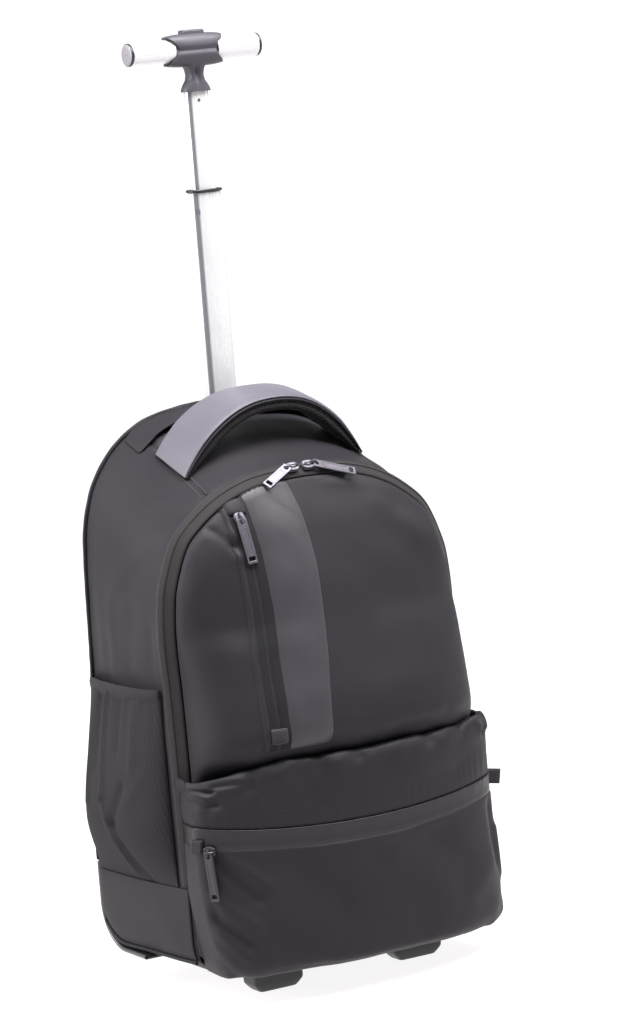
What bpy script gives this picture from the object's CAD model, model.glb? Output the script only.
import math

import bpy
import numpy as np
from mathutils import Matrix, Vector


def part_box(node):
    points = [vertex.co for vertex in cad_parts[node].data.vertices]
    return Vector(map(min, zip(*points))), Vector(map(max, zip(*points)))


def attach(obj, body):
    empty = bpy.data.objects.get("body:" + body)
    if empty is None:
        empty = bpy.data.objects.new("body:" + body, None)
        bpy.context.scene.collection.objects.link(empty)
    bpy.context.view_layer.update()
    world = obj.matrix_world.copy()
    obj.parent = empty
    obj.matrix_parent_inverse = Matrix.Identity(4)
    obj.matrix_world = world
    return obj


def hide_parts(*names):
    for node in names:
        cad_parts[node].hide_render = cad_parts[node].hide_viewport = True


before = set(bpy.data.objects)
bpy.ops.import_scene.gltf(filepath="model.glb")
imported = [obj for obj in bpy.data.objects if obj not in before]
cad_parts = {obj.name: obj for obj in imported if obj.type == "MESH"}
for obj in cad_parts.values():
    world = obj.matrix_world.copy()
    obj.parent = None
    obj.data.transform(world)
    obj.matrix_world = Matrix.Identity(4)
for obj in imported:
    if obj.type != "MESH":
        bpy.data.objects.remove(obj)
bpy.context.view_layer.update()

# Camera: it stands at the bag's front left, a little above the top of the carry handle,
# and looks slightly down along the bag with a long lens.
CAMERA_PLACE = (-1.7076, -3.0185, 0.8787)
CAMERA_RIGHT = (0.8573, -0.5086, -0.0793)
CAMERA_UP = (0.1360, 0.0752, 0.9878)
CAMERA_FORWARD = (0.4965, 0.8577, -0.1337)

camera_data = bpy.data.cameras.new("camera")
camera_data.sensor_width = 36
camera_data.lens = 136.49
camera_data.clip_end = 30
camera = bpy.data.objects.new("camera", camera_data)
camera.matrix_world = Matrix((
    (CAMERA_RIGHT[0], CAMERA_UP[0], -CAMERA_FORWARD[0], CAMERA_PLACE[0]),
    (CAMERA_RIGHT[1], CAMERA_UP[1], -CAMERA_FORWARD[1], CAMERA_PLACE[1]),
    (CAMERA_RIGHT[2], CAMERA_UP[2], -CAMERA_FORWARD[2], CAMERA_PLACE[2]),
    (0, 0, 0, 1),
))
bpy.context.scene.collection.objects.link(camera)
bpy.context.scene.camera = camera

# Studio: soft light from everywhere and large lamps, the brightest at the left of the bag, with
# a white wall behind it and a pale floor that is lit like the wall.
world = bpy.data.worlds.new("studio")
bpy.context.scene.world = world
bpy.context.scene.view_settings.view_transform = "Standard"
world.use_nodes = True
world.node_tree.nodes["Background"].inputs["Color"].default_value = (1, 1, 1, 1)
world.node_tree.nodes["Background"].inputs["Strength"].default_value = 0.27

LAMPS = (
    # name, place, target, width, height, power in watts
    ("lamp_left", (-2.4, 1.0, 1.5), (0, 0, 0.3), 1.6, 2.0, 104),
    ("lamp_top", (-0.1, -0.45, 2.4), (0, 0, 0.4), 1.4, 1.0, 100),
    ("lamp_front", (1.1, -1.0, 2.3), (0, 0, 0.4), 1.2, 1.0, 52),
    ("lamp_right", (2.2, -0.6, 1.3), (0.1, 0, 0.3), 1.0, 1.6, 10),
)
for lamp_name, place, target, lamp_width, lamp_height, power in LAMPS:
    lamp_data = bpy.data.lights.new(lamp_name, "AREA")
    lamp_data.shape = "RECTANGLE"
    lamp_data.size = lamp_width
    lamp_data.size_y = lamp_height
    lamp_data.energy = power
    lamp = bpy.data.objects.new(lamp_name, lamp_data)
    aim = Vector(target) - Vector(place)
    lamp.matrix_world = Matrix.Translation(place) @ aim.to_track_quat("-Z", "Y").to_matrix().to_4x4()
    bpy.context.scene.collection.objects.link(lamp)

floor_mesh = bpy.data.meshes.new("floor")
floor_mesh.from_pydata([(-2, -2, 0), (2, -2, 0), (2, 9, 0), (-2, 9, 0)], [], [(0, 1, 2, 3)])
floor = bpy.data.objects.new("floor", floor_mesh)
bpy.context.scene.collection.objects.link(floor)
floor_paint = bpy.data.materials.new("floor_paint")
floor_paint.use_nodes = True
floor_shader = floor_paint.node_tree.nodes["Principled BSDF"]
floor_shader.inputs["Base Color"].default_value = (0.24, 0.225, 0.23, 1)
floor_shader.inputs["Emission Color"].default_value = (1, 0.985, 0.99, 1)
floor_shader.inputs["Emission Strength"].default_value = 0.9
floor_shader.inputs["Roughness"].default_value = 0.9
floor_mesh.materials.append(floor_paint)
wall_mesh = bpy.data.meshes.new("studio_wall")
wall_middle = Vector(CAMERA_PLACE) + 9 * Vector(CAMERA_FORWARD)
wall_mesh.from_pydata([wall_middle + a * 2.2 * Vector(CAMERA_RIGHT) + b * 2.2 * Vector(CAMERA_UP)
                       for a, b in ((-1, -1), (1, -1), (1, 1), (-1, 1))], [], [(0, 1, 2, 3)])
studio_wall = bpy.data.objects.new("studio_wall", wall_mesh)
bpy.context.scene.collection.objects.link(studio_wall)
wall_paint = bpy.data.materials.new("wall_paint")
wall_paint.use_nodes = True
wall_shader = wall_paint.node_tree.nodes["Principled BSDF"]
wall_shader.inputs["Base Color"].default_value = (0.1, 0.1, 0.1, 1)
wall_shader.inputs["Emission Color"].default_value = (1, 1, 1, 1)
wall_shader.inputs["Emission Strength"].default_value = 1.0
wall_mesh.materials.append(wall_paint)

# Bag shell: gusset and back of the main compartment, one tub of thin coated polyester with a
# fine plain weave. It is open at the front, where the main zip is sewn on, and bends inwards
# along the two cross seams that hold the ends of the carry handle.
MM = 0.001
foot_low, foot_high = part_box("foot_left")
ZIP_PLANE = (foot_low.y + foot_high.y) / 2 / MM + 7.3
INSIDE = np.array((0.0, 40.0, 250.0))
BAG_WIDTH = 310.0
BAG_DEPTH = 150.0
BACK_TOP = 510.0
ZIP_TOP = 458.0
BAG_BOTTOM = 30.5
REAR_CORNER_RADIUS = 38.0
SIDE_SWELL = 4.0
ZIP_END = 99.0
ZIP_RIM_OUT = 2.6
ZIP_RIM_BACK = 8.7
ZIP_RIM_IN = 7.8
ZIP_RIM_FORWARD = 6.9
HANDLE_HALF_SPAN = 91.0

# Half of the bag's outline from the middle of the top round to the middle of the bottom, at the
# zip and at the back edge: sides as shares of half the width, heights as shares of the height.
OUTLINE = (
    # zip side, zip up, back side, back up
    (0.000, 1.000, 0.000, 1.000), (0.160, 0.998, 0.160, 0.998), (0.297, 0.993, 0.305, 0.992),
    (0.430, 0.981, 0.465, 0.980), (0.568, 0.960, 0.626, 0.951), (0.708, 0.927, 0.761, 0.907),
    (0.824, 0.887, 0.865, 0.845), (0.898, 0.831, 0.923, 0.760), (0.945, 0.769, 0.936, 0.660),
    (0.962, 0.678, 0.942, 0.560), (0.951, 0.563, 0.955, 0.450), (0.943, 0.393, 0.992, 0.300),
    (0.935, 0.181, 1.014, 0.170), (0.934, 0.160, 1.016, 0.150), (0.933, 0.050, 1.018, 0.040),
    (0.900, 0.004, 0.990, 0.004), (0.800, 0.000, 0.880, 0.000), (0.400, 0.000, 0.440, 0.000),
    (0.000, 0.000, 0.000, 0.000),
)


def curve_through(known, values):
    """A smooth function through points of a table that never swings past them."""
    known = np.asarray(known, float)
    values = np.asarray(values, float)
    step = np.diff(known)
    slope = np.diff(values) / step
    tangent = np.zeros(len(known))
    same_way = slope[1:] * slope[:-1] > 0
    total = slope[1:] + slope[:-1]
    mean = 2 * slope[1:] * slope[:-1] / np.where(same_way, total, 1)
    tangent[1:-1] = np.where(same_way, mean, 0)
    tangent[0] = slope[0]
    tangent[-1] = slope[-1]

    def at(x):
        x = np.clip(np.asarray(x, float), known[0], known[-1])
        i = np.clip(np.searchsorted(known, x) - 1, 0, len(step) - 1)
        t = (x - known[i]) / step[i]
        low = values[i] * (1 + 2 * t) * (1 - t) ** 2 + tangent[i] * step[i] * t * (1 - t) ** 2
        high = values[i + 1] * t ** 2 * (3 - 2 * t) - tangent[i + 1] * step[i] * t ** 2 * (1 - t)
        return low + high

    return at


def mix(a, b, share):
    return a + (b - a) * share


outline_rows = np.array(OUTLINE)
outline_shape = [curve_through(np.arange(len(OUTLINE)), outline_rows[:, i]) for i in range(4)]


def underside(y):
    into = np.clip((y - (BAG_DEPTH - REAR_CORNER_RADIUS)) / REAR_CORNER_RADIUS, 0, 1)
    return BAG_BOTTOM + REAR_CORNER_RADIUS * (1 - np.sqrt(1 - into * into))


def half_outline(y, rows):
    """Side and height of the outline at a depth, for places along the outline's table."""
    back = np.clip(y / BAG_DEPTH, 0, 1)
    side = mix(outline_shape[0](rows), outline_shape[2](rows), back) * BAG_WIDTH / 2
    up = mix(outline_shape[1](rows), outline_shape[3](rows), back)
    swell = SIDE_SWELL * np.sin(np.pi * back) * np.sin(np.pi * up ** 0.8)
    side = side + swell * np.minimum(1, outline_shape[0](rows) * 1.5)
    return side, mix(underside(y), mix(ZIP_TOP, BACK_TOP, back), up)


def even_rows(count):
    """Places along the table that lie evenly along the outline in the middle of the bag."""
    fine = np.linspace(0, len(OUTLINE) - 1, 900)
    side, up = half_outline(60.0, fine)
    run = np.r_[0, np.cumsum(np.hypot(np.diff(side), np.diff(up)))]
    return np.interp(np.linspace(0, run[-1], count), run, fine)


def closed_outline(y, count):
    """The whole outline at a depth, from the top round the left side, bottom and right side."""
    side, up = half_outline(y, even_rows(count))
    x = np.r_[-side, side[-2:0:-1]]
    z = np.r_[up, up[-2:0:-1]]
    return np.stack([x, np.full(len(x), float(y)), z], 1)


def grow(outline, distance):
    """Moves the points of a closed outline outwards in their plane."""
    run = np.roll(outline, -1, 0) - np.roll(outline, 1, 0)
    run /= np.linalg.norm(run, axis=1)[:, None]
    out = outline.copy()
    distance = np.broadcast_to(distance, len(outline))
    out[:, 0] += run[:, 2] * distance
    out[:, 2] -= run[:, 0] * distance
    return out


def normals_of(grid, around=False, away_from=INSIDE):
    """Unit normals of a grid of points, pointing away from a place inside the bag."""
    if around:
        across = np.roll(grid, -1, 1) - np.roll(grid, 1, 1)
    else:
        across = np.gradient(grid, axis=1)
    down = np.gradient(grid, axis=0)
    normal = np.cross(across, down)
    normal /= np.maximum(np.linalg.norm(normal, axis=2), 1e-9)[:, :, None]
    if away_from is not None and np.sum(normal * (grid - away_from)) < 0:
        normal = -normal
    return normal


def folds(points, table):
    """Heights of creases, each on a line between two places, with a width and a height."""
    total = np.zeros(points.shape[:-1])
    for start, end, width, height in table:
        start = np.array(start, float)
        line = np.array(end, float) - start
        share = np.clip((points - start) @ line / (line @ line), 0, 1)
        distance = np.linalg.norm(points - start - share[..., None] * line, axis=-1)
        total += height * np.exp(-(distance / width) ** 2)
    return total


def ripple(points, size, seed=0.0):
    """Gentle unevenness of cloth, between about -1 and 1, with hollows of a size in mm."""
    x, y, z = (points[..., i] * 2 * np.pi / size + seed * (i + 1.3) for i in range(3))
    bend = 1.4 * np.sin(0.43 * x - 0.31 * z + seed) + 0.9 * np.sin(0.57 * y + 0.23 * x)
    waves = np.sin(0.9 * x + 0.4 * z + bend) + np.sin(0.8 * z - 0.5 * y + bend * 0.7 + 1.0)
    return (waves + np.sin(0.7 * y + 0.6 * x - 0.5 * z - bend + 2.0)) / 3


def cloth_mesh(name, grid, around=False, pole=False, away_from=INSIDE):
    """A mesh of a grid of points in mm, with a UV map in metres along the cloth."""
    rows, columns = grid.shape[:2]
    points = grid.reshape(-1, 3)
    spans = columns if around else columns - 1
    r, c = np.meshgrid(np.arange(rows - 1), np.arange(spans), indexing="ij")
    here = (r * columns + c).ravel()
    beside = (r * columns + (c + 1) % columns).ravel()
    faces = np.stack([here, beside, beside + columns, here + columns], 1).tolist()
    if pole:
        points = np.vstack([points, grid[-1].mean(0)])
        last = (rows - 1) * columns
        faces += [[last + k, last + (k + 1) % columns, len(points) - 1] for k in range(spans)]
    mesh = bpy.data.meshes.new(name)
    placed = (points + (0, ZIP_PLANE, 0)) * MM
    mesh.from_pydata(placed.tolist(), [], faces)
    closed = np.concatenate([grid, grid[:, :1]], 1) if around else grid
    across = np.linalg.norm(np.diff(closed, axis=1), axis=2)
    across = np.concatenate([np.zeros((rows, 1)), np.cumsum(across, 1)], 1)
    across -= across[:, [spans // 2]]
    down = np.linalg.norm(np.diff(grid, axis=0), axis=2).mean(1)
    down = np.r_[0, np.cumsum(down)]
    u = across * MM
    v = np.repeat(down[:, None], spans + 1, 1) * MM
    k = np.stack([r, r, r + 1, r + 1], -1).reshape(-1)
    m = np.stack([c, c + 1, c + 1, c], -1).reshape(-1)
    flat = np.stack([u[k, m], v[k, m]], 1).ravel()
    if pole:
        fan_u = np.stack([u[-1, :-1], u[-1, 1:], u[-1, :-1]], 1)[:spans].ravel()
        fan_v = np.tile([v[-1, 0], v[-1, 0], v[-1, 0] + 0.01], spans)
        flat = np.r_[flat, np.stack([fan_u, fan_v], 1).ravel()]
    mesh.uv_layers.new(name="cloth").data.foreach_set("uv", flat)
    centres = np.array([p.center for p in mesh.polygons]) / MM - (0, ZIP_PLANE, 0)
    facing = np.array([p.normal for p in mesh.polygons])
    if away_from is None:
        area = np.array([p.area for p in mesh.polygons])
        inwards = np.sum(np.sum(facing * centres, 1) * area) < 0
    else:
        inwards = np.sum(facing * (centres - away_from)) < 0
    if inwards:
        mesh.flip_normals()
    mesh.shade_smooth()
    return mesh


def show(name, mesh, material, body, slot, *nodes, wall=0.0):
    """Puts a finished mesh into the scene as a piece of the bag, with a wall if it is a sheet."""
    piece = bpy.data.objects.new(name, mesh)
    bpy.context.scene.collection.objects.link(piece)
    mesh.materials.clear()
    mesh.materials.append(material)
    if wall:
        thick = piece.modifiers.new("wall", "SOLIDIFY")
        thick.thickness = wall * MM
        thick.offset = -1
    if nodes:
        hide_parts(*nodes)
    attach(piece, body)
    return piece


def grid_piece(name, grid, material, body, slot, *nodes, wall=0.0, **layout):
    """A piece that is one grid of points, put into the scene with a mesh of its own name."""
    return show(name, cloth_mesh(name, grid, **layout), material, body, slot, *nodes, wall=wall)


def shader_sockets(group, way, *names):
    for socket_name, kind, value in names:
        socket = group.interface.new_socket(socket_name, in_out=way, socket_type=f"NodeSocket{kind}")
        if value is not None:
            socket.default_value = value


def calculate(tree, operation, *values):
    """A Math node whose inputs are numbers or the outputs of other nodes."""
    node = tree.nodes.new("ShaderNodeMath")
    node.operation = operation
    for i, value in enumerate(values):
        if isinstance(value, (int, float)):
            node.inputs[i].default_value = value
        else:
            tree.links.new(value, node.inputs[i])
    return node.outputs[0]


# Threads of a woven cloth, along its own UV map: a mask of the raised threads, and the slow
# unevenness of dye and coating over the piece.
weave = bpy.data.node_groups.new("weave", "ShaderNodeTree")
shader_sockets(weave, "INPUT", ("Threads across", "Float", 1200.0), ("Threads along", "Float", 1200.0),
               ("Slant", "Float", 0.0), ("Cloud size", "Float", 14.0))
shader_sockets(weave, "OUTPUT", ("Thread", "Float", None), ("Cloud", "Float", None),
               ("Fibre", "Float", None))
weave_in = weave.nodes.new("NodeGroupInput")
weave_out = weave.nodes.new("NodeGroupOutput")
weave_uv = weave.nodes.new("ShaderNodeUVMap")
weave_uv.uv_map = "cloth"
weave_split = weave.nodes.new("ShaderNodeSeparateXYZ")
weave.links.new(weave_uv.outputs["UV"], weave_split.inputs[0])
slanted = calculate(weave, "MULTIPLY_ADD", weave_split.outputs["Y"], weave_in.outputs["Slant"],
                    weave_split.outputs["X"])
warp = calculate(weave, "SINE", calculate(
    weave, "MULTIPLY", calculate(weave, "MULTIPLY", slanted, weave_in.outputs["Threads across"]), math.pi))
weft = calculate(weave, "SINE", calculate(
    weave, "MULTIPLY",
    calculate(weave, "MULTIPLY", weave_split.outputs["Y"], weave_in.outputs["Threads along"]), math.pi))
crossing = calculate(weave, "MULTIPLY", warp, weft)
warp_ridge = calculate(weave, "MULTIPLY", calculate(weave, "ABSOLUTE", warp), 0.5)
weft_ridge = calculate(weave, "MULTIPLY", calculate(weave, "ABSOLUTE", weft), 0.5)
ridge = calculate(weave, "ADD", warp_ridge, weft_ridge)
thread = calculate(weave, "MULTIPLY_ADD", crossing, 0.25, ridge)
weave_place = weave.nodes.new("ShaderNodeTexCoord")
cloud = weave.nodes.new("ShaderNodeTexNoise")
cloud.inputs["Detail"].default_value = 4
weave.links.new(weave_place.outputs["Object"], cloud.inputs["Vector"])
weave.links.new(weave_in.outputs["Cloud size"], cloud.inputs["Scale"])
fibre = weave.nodes.new("ShaderNodeTexNoise")
fibre.inputs["Scale"].default_value = 700
fibre.inputs["Detail"].default_value = 3
weave.links.new(weave_place.outputs["Object"], fibre.inputs["Vector"])
weave.links.new(thread, weave_out.inputs["Thread"])
weave.links.new(cloud.outputs[0], weave_out.inputs["Cloud"])
weave.links.new(fibre.outputs[0], weave_out.inputs["Fibre"])


def woven(name, dark, light, roughness, threads, depth, sheen=0.0, coat=0.0, slant=0.0,
          thread_tint=0.5, shine=0.22):
    """A cloth of its own two dyes, roughness, threads per metre and depth of weave in mm."""
    material = bpy.data.materials.new(name)
    material.use_nodes = True
    tree = material.node_tree
    shader = tree.nodes["Principled BSDF"]
    group = tree.nodes.new("ShaderNodeGroup")
    group.node_tree = weave
    group.inputs["Threads across"].default_value = threads[0]
    group.inputs["Threads along"].default_value = threads[1]
    group.inputs["Slant"].default_value = slant
    share = calculate(tree, "MULTIPLY_ADD", group.outputs["Thread"], thread_tint,
                      calculate(tree, "MULTIPLY", group.outputs["Cloud"], 1 - thread_tint))
    dye = tree.nodes.new("ShaderNodeMix")
    dye.data_type = "RGBA"
    dye.inputs["A"].default_value = (*dark, 1)
    dye.inputs["B"].default_value = (*light, 1)
    tree.links.new(share, dye.inputs["Factor"])
    tree.links.new(dye.outputs["Result"], shader.inputs["Base Color"])
    rough = calculate(tree, "MULTIPLY_ADD", group.outputs["Cloud"], 0.16, roughness - 0.08)
    tree.links.new(rough, shader.inputs["Roughness"])
    height = calculate(tree, "MULTIPLY_ADD", group.outputs["Fibre"], 0.35, group.outputs["Thread"])
    bump = tree.nodes.new("ShaderNodeBump")
    bump.inputs["Distance"].default_value = depth * MM
    bump.inputs["Strength"].default_value = 0.8
    tree.links.new(height, bump.inputs["Height"])
    tree.links.new(bump.outputs["Normal"], shader.inputs["Normal"])
    shader.inputs["Sheen Weight"].default_value = sheen
    shader.inputs["Sheen Roughness"].default_value = 0.4
    shader.inputs["Coat Weight"].default_value = coat
    shader.inputs["Coat Roughness"].default_value = 0.35
    shader.inputs["Specular IOR Level"].default_value = shine
    return material


bag_cloth = woven("bag_cloth", (0.0070, 0.0056, 0.0080), (0.0185, 0.0153, 0.0210), 0.54, (1500, 1500), 0.10,
                  sheen=0.04, shine=0.24)

SHELL_COLUMNS = 150
SHELL_FOLDS = (
    # two ends of a crease in mm (side, depth, height), width and height in mm
    ((-152, 99, 330), (-152, 98, 276), 7, 1.2), ((-152, 27, 330), (-152, 31, 276), 7, -1.3),
    ((-152, 62, 345), (-152, 70, 282), 12, -1.6), ((-152, 128, 400), (-152, 120, 300), 10, 1.3),
    ((-150, 40, 440), (-152, 110, 330), 16, 1.6), ((-140, 20, 400), (-150, 90, 350), 9, -1.2),
    ((152, 99, 330), (152, 98, 276), 7, 1.2), ((152, 40, 380), (152, 70, 290), 10, -1.5),
    ((-60, 120, 498), (60, 120, 503), 10, -1.2), ((-50, 22, 462), (50, 22, 466), 14, -1.8),
    ((-78, 112, 484), (-58, 118, 494), 3.0, 1.8), ((-84, 102, 478), (-66, 108, 488), 2.6, -1.8),
    ((-120, 60, 440), (-100, 20, 435), 8, 1.3), ((100, 30, 440), (125, 80, 440), 8, 1.3),
)


def cross_seam(points, side):
    """Depth of the groove where the top of the gusset is sewn to its two sides."""
    seam_x = -side * (HANDLE_HALF_SPAN - 3 + 4 * np.clip((60 - points[..., 1]) / 60, -1, 1))
    on_top = points[..., 2] > 400
    groove = np.exp(-((points[..., 0] - seam_x) / 1.5) ** 2)
    crown = np.exp(-((points[..., 0] - seam_x) / 7) ** 2)
    return np.where(on_top, 0.8 * crown - 1.9 * groove, 0)


depths = np.r_[np.linspace(0, 0.72, 34), np.linspace(0.74, 1, 18)] * BAG_DEPTH
shell_rings = []
for depth in depths:
    ring = closed_outline(depth, SHELL_COLUMNS)
    if depth < 14:
        zipped = np.clip((ring[:, 2] - ZIP_END) / 8, 0, 1)
        front = mix(-ZIP_RIM_FORWARD * 0.2, ZIP_RIM_BACK, zipped)
        ring = grow(ring, ZIP_RIM_OUT * zipped * (1 - depth / 14))
        ring[:, 1] = front + (14 - front) * depth / 14
    shell_rings.append(ring)
for inset in (3, 8, 20, 45, 80, 115):
    back_ring = shell_rings[len(depths) - 1].copy()
    middle = back_ring.mean(0)
    spread = np.linalg.norm(back_ring - middle, axis=1)[:, None]
    back_ring = middle + (back_ring - middle) * np.maximum(0.05, 1 - inset / spread)
    shell_rings.append(back_ring)
shell_grid = np.array(shell_rings)
shell_push = 0.7 * ripple(shell_grid, 90) + 0.35 * ripple(shell_grid, 38, 2.0)
shell_push += folds(shell_grid, SHELL_FOLDS)
shell_push += cross_seam(shell_grid, 1) + cross_seam(shell_grid, -1)
shell_push *= np.r_[np.clip(depths / 10, 0, 1) * np.clip((BAG_DEPTH - depths) / 5, 0, 1),
                    np.zeros(6)][:, None]
shell_push *= np.clip((shell_grid[:, :, 2] - 75) / 30, 0, 1)
shell_grid += normals_of(shell_grid, around=True) * shell_push[:, :, None]
grid_piece("bag_shell_cloth", shell_grid, bag_cloth, "bag", "bag_cloth", "bag_shell", wall=1.6,
           around=True, pole=True)

# Main zip: two knitted tapes that meet over a hidden coil, sewn into the edges of the shell and
# of the front panel with two rows of stitches. It runs over the arch from one side to the other.
tape_cloth = woven("tape_cloth", (0.011, 0.0095, 0.0105), (0.028, 0.0245, 0.026), 0.7, (900, 700), 0.16,
                   sheen=0.06, slant=0.35)
thread_look = woven("sewing_thread", (0.022, 0.020, 0.023), (0.055, 0.050, 0.058), 0.6, (3000, 3000), 0.02)


def over_the_arch(outline, lowest):
    """The part of a closed outline above a height, from the left end over the top to the right."""
    half = (len(outline) + 2) // 2
    left = outline[:half][::-1]
    right = outline[half:][::-1]
    path = np.vstack([left, right])
    return path[path[:, 2] > lowest]


def strip(path, section):
    """A strip along a path: each row of the section is (outwards, backwards) in mm."""
    run = np.gradient(path, axis=0)
    run /= np.linalg.norm(run, axis=1)[:, None]
    out = np.stack([-run[:, 2], np.zeros(len(run)), run[:, 0]], 1)
    rows = [path + out * o + np.array((0, 1.0, 0)) * b for o, b in section]
    return np.array(rows)


def smooth_section(section, count):
    section = np.array(section, float)
    known = np.linspace(0, 1, len(section))
    at = np.linspace(0, 1, count)
    return np.stack([curve_through(known, section[:, i])(at) for i in range(section.shape[1])], 1)


zip_outline = closed_outline(0, 220)
zip_path = over_the_arch(zip_outline, ZIP_END + 4)
OUTER_TAPE = ((3.1, 8.0), (3.0, 6.0), (2.6, 4.2), (1.9, 2.4), (1.1, 1.2), (0.35, 0.6), (0.1, 1.6))
INNER_TAPE = ((0.0, 1.4), (-0.5, -0.1), (-1.6, -1.0), (-3.2, -2.8), (-4.6, -4.3), (-6.3, -5.7), (-7.3, -5.6))
outer_tape_grid = strip(zip_path, smooth_section(OUTER_TAPE, 13))
inner_tape_grid = strip(zip_path, smooth_section(INNER_TAPE, 13))
grid_piece("main_zip_outer", outer_tape_grid, tape_cloth, "bag", "zip_tape", "main_zip_outer_tape", wall=0.9)
grid_piece("main_zip_inner", inner_tape_grid, tape_cloth, "bag", "zip_tape", "main_zip_inner_tape", wall=0.9)


def tree_with(name, *inputs):
    """An empty Geometry Nodes tree with a mesh going in and out and named sizes."""
    tree = bpy.data.node_groups.new(name, "GeometryNodeTree")
    tree.interface.new_socket("Geometry", in_out="INPUT", socket_type="NodeSocketGeometry")
    for label, kind, value in inputs:
        socket = tree.interface.new_socket(label, in_out="INPUT", socket_type=f"NodeSocket{kind}")
        if value is not None:
            socket.default_value = value
    tree.interface.new_socket("Geometry", in_out="OUTPUT", socket_type="NodeSocketGeometry")
    return tree, tree.nodes.new("NodeGroupInput"), tree.nodes.new("NodeGroupOutput")


# Stitches: short raised threads, one after another along a line of points.
stitches, stitch_in, stitch_out = tree_with(
    "stitches", ("Pitch", "Float", 0.003), ("Length", "Float", 0.0022), ("Thickness", "Float", 0.0005),
    ("Thread", "Material", None))
as_curve = stitches.nodes.new("GeometryNodeMeshToCurve")
spaced = stitches.nodes.new("GeometryNodeResampleCurve")
spaced.mode = "LENGTH"
direction = stitches.nodes.new("GeometryNodeInputTangent")
along_path = stitches.nodes.new("FunctionNodeAlignRotationToVector")
along_path.axis = "X"
one_stitch = stitches.nodes.new("GeometryNodeMeshIcoSphere")
one_stitch.inputs["Radius"].default_value = 0.5
one_stitch.inputs["Subdivisions"].default_value = 1
stitch_size = stitches.nodes.new("ShaderNodeCombineXYZ")
placed_stitches = stitches.nodes.new("GeometryNodeInstanceOnPoints")
real_stitches = stitches.nodes.new("GeometryNodeRealizeInstances")
stitch_paint = stitches.nodes.new("GeometryNodeSetMaterial")
stitches.links.new(stitch_in.outputs["Geometry"], as_curve.inputs["Mesh"])
stitches.links.new(as_curve.outputs["Curve"], spaced.inputs["Curve"])
stitches.links.new(stitch_in.outputs["Pitch"], spaced.inputs["Length"])
stitches.links.new(direction.outputs["Tangent"], along_path.inputs["Vector"])
stitches.links.new(stitch_in.outputs["Length"], stitch_size.inputs["X"])
stitches.links.new(stitch_in.outputs["Thickness"], stitch_size.inputs["Y"])
stitches.links.new(stitch_in.outputs["Thickness"], stitch_size.inputs["Z"])
stitches.links.new(spaced.outputs["Curve"], placed_stitches.inputs["Points"])
stitches.links.new(one_stitch.outputs["Mesh"], placed_stitches.inputs["Instance"])
stitches.links.new(along_path.outputs["Rotation"], placed_stitches.inputs["Rotation"])
stitches.links.new(stitch_size.outputs[0], placed_stitches.inputs["Scale"])
stitches.links.new(placed_stitches.outputs["Instances"], real_stitches.inputs["Geometry"])
stitches.links.new(real_stitches.outputs["Geometry"], stitch_paint.inputs["Geometry"])
stitches.links.new(stitch_in.outputs["Thread"], stitch_paint.inputs["Material"])
stitches.links.new(stitch_paint.outputs["Geometry"], stitch_out.inputs["Geometry"])


def line_mesh(name, lines):
    """Lines of points in mm as a mesh of edges."""
    points, edges = [], []
    for line in lines:
        first = len(points)
        points += ((np.asarray(line) + (0, ZIP_PLANE, 0)) * MM).tolist()
        edges += [(first + k, first + k + 1) for k in range(len(line) - 1)]
    mesh = bpy.data.meshes.new(name)
    mesh.from_pydata(points, edges, [])
    return mesh


def made_by(tree, name, mesh, values):
    """Runs a Geometry Nodes tree over a mesh and gives its result as a plain mesh."""
    maker = bpy.data.objects.new(name, mesh)
    bpy.context.scene.collection.objects.link(maker)
    modifier = maker.modifiers.new("made", "NODES")
    modifier.node_group = tree
    for item in tree.interface.items_tree:
        if item.in_out == "INPUT" and item.name in values:
            modifier[item.identifier] = values[item.name]
    maker.update_tag()
    evaluated = maker.evaluated_get(bpy.context.evaluated_depsgraph_get())
    result = bpy.data.meshes.new_from_object(evaluated)
    bpy.data.objects.remove(maker)
    result.name = name
    return result


def sew(name, lines, body="bag", slot="bag_cloth", pitch=3.0, length=2.3, thickness=0.55, look=None):
    """Rows of stitches along lines of points in mm."""
    look = look or thread_look
    mesh = made_by(stitches, name, line_mesh(name, lines), {
        "Pitch": pitch * MM, "Length": length * MM, "Thickness": thickness * MM, "Thread": look,
    })
    return show(name, mesh, look, body, slot)


def lifted(grid, row=None, column=None, height=0.15):
    """A row or a column of a grid, lifted off the cloth."""
    raised = grid + normals_of(grid) * height
    return raised[row] if row is not None else raised[:, column]


sew("main_zip_stitches", [lifted(outer_tape_grid, row=3), lifted(inner_tape_grid, row=9)], slot="zip_tape",
    pitch=2.8, length=2.0, thickness=0.4)

# Front panel: one dome of padded cloth from zip to zip, fullest just above the lower pocket. Its
# edge is turned under along the zip, so it rolls in there, and it is dented beside the band.
PANEL_BULGE = 72.0
PANEL_FLAT_UP = 0.46
PANEL_SHOULDER_UP = 0.66
PANEL_SECTIONS = np.array((
    # up, bulge and squareness of the plan
    (0.000, 0.20, 3.0), (0.360, 0.22, 3.0), (0.395, 0.36, 3.0), (0.415, 0.62, 2.9), (0.440, 0.86, 2.9),
    (0.480, 0.98, 2.9), (0.530, 0.94, 2.7), (0.605, 0.81, 2.5), (0.655, 0.72, 2.3), (0.710, 0.62, 2.0),
    (0.770, 0.52, 2.0), (0.832, 0.40, 2.0), (0.888, 0.28, 2.0), (0.959, 0.12, 2.0), (1.000, 0.02, 2.0),
))
panel_bulge = curve_through(PANEL_SECTIONS[:, 0], PANEL_SECTIONS[:, 1])
panel_square = curve_through(PANEL_SECTIONS[:, 0], PANEL_SECTIONS[:, 2])
panel_rise = ZIP_TOP - BAG_BOTTOM
panel_flat_top = BAG_BOTTOM + PANEL_FLAT_UP * panel_rise
panel_shoulder = BAG_BOTTOM + PANEL_SHOULDER_UP * panel_rise
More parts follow.
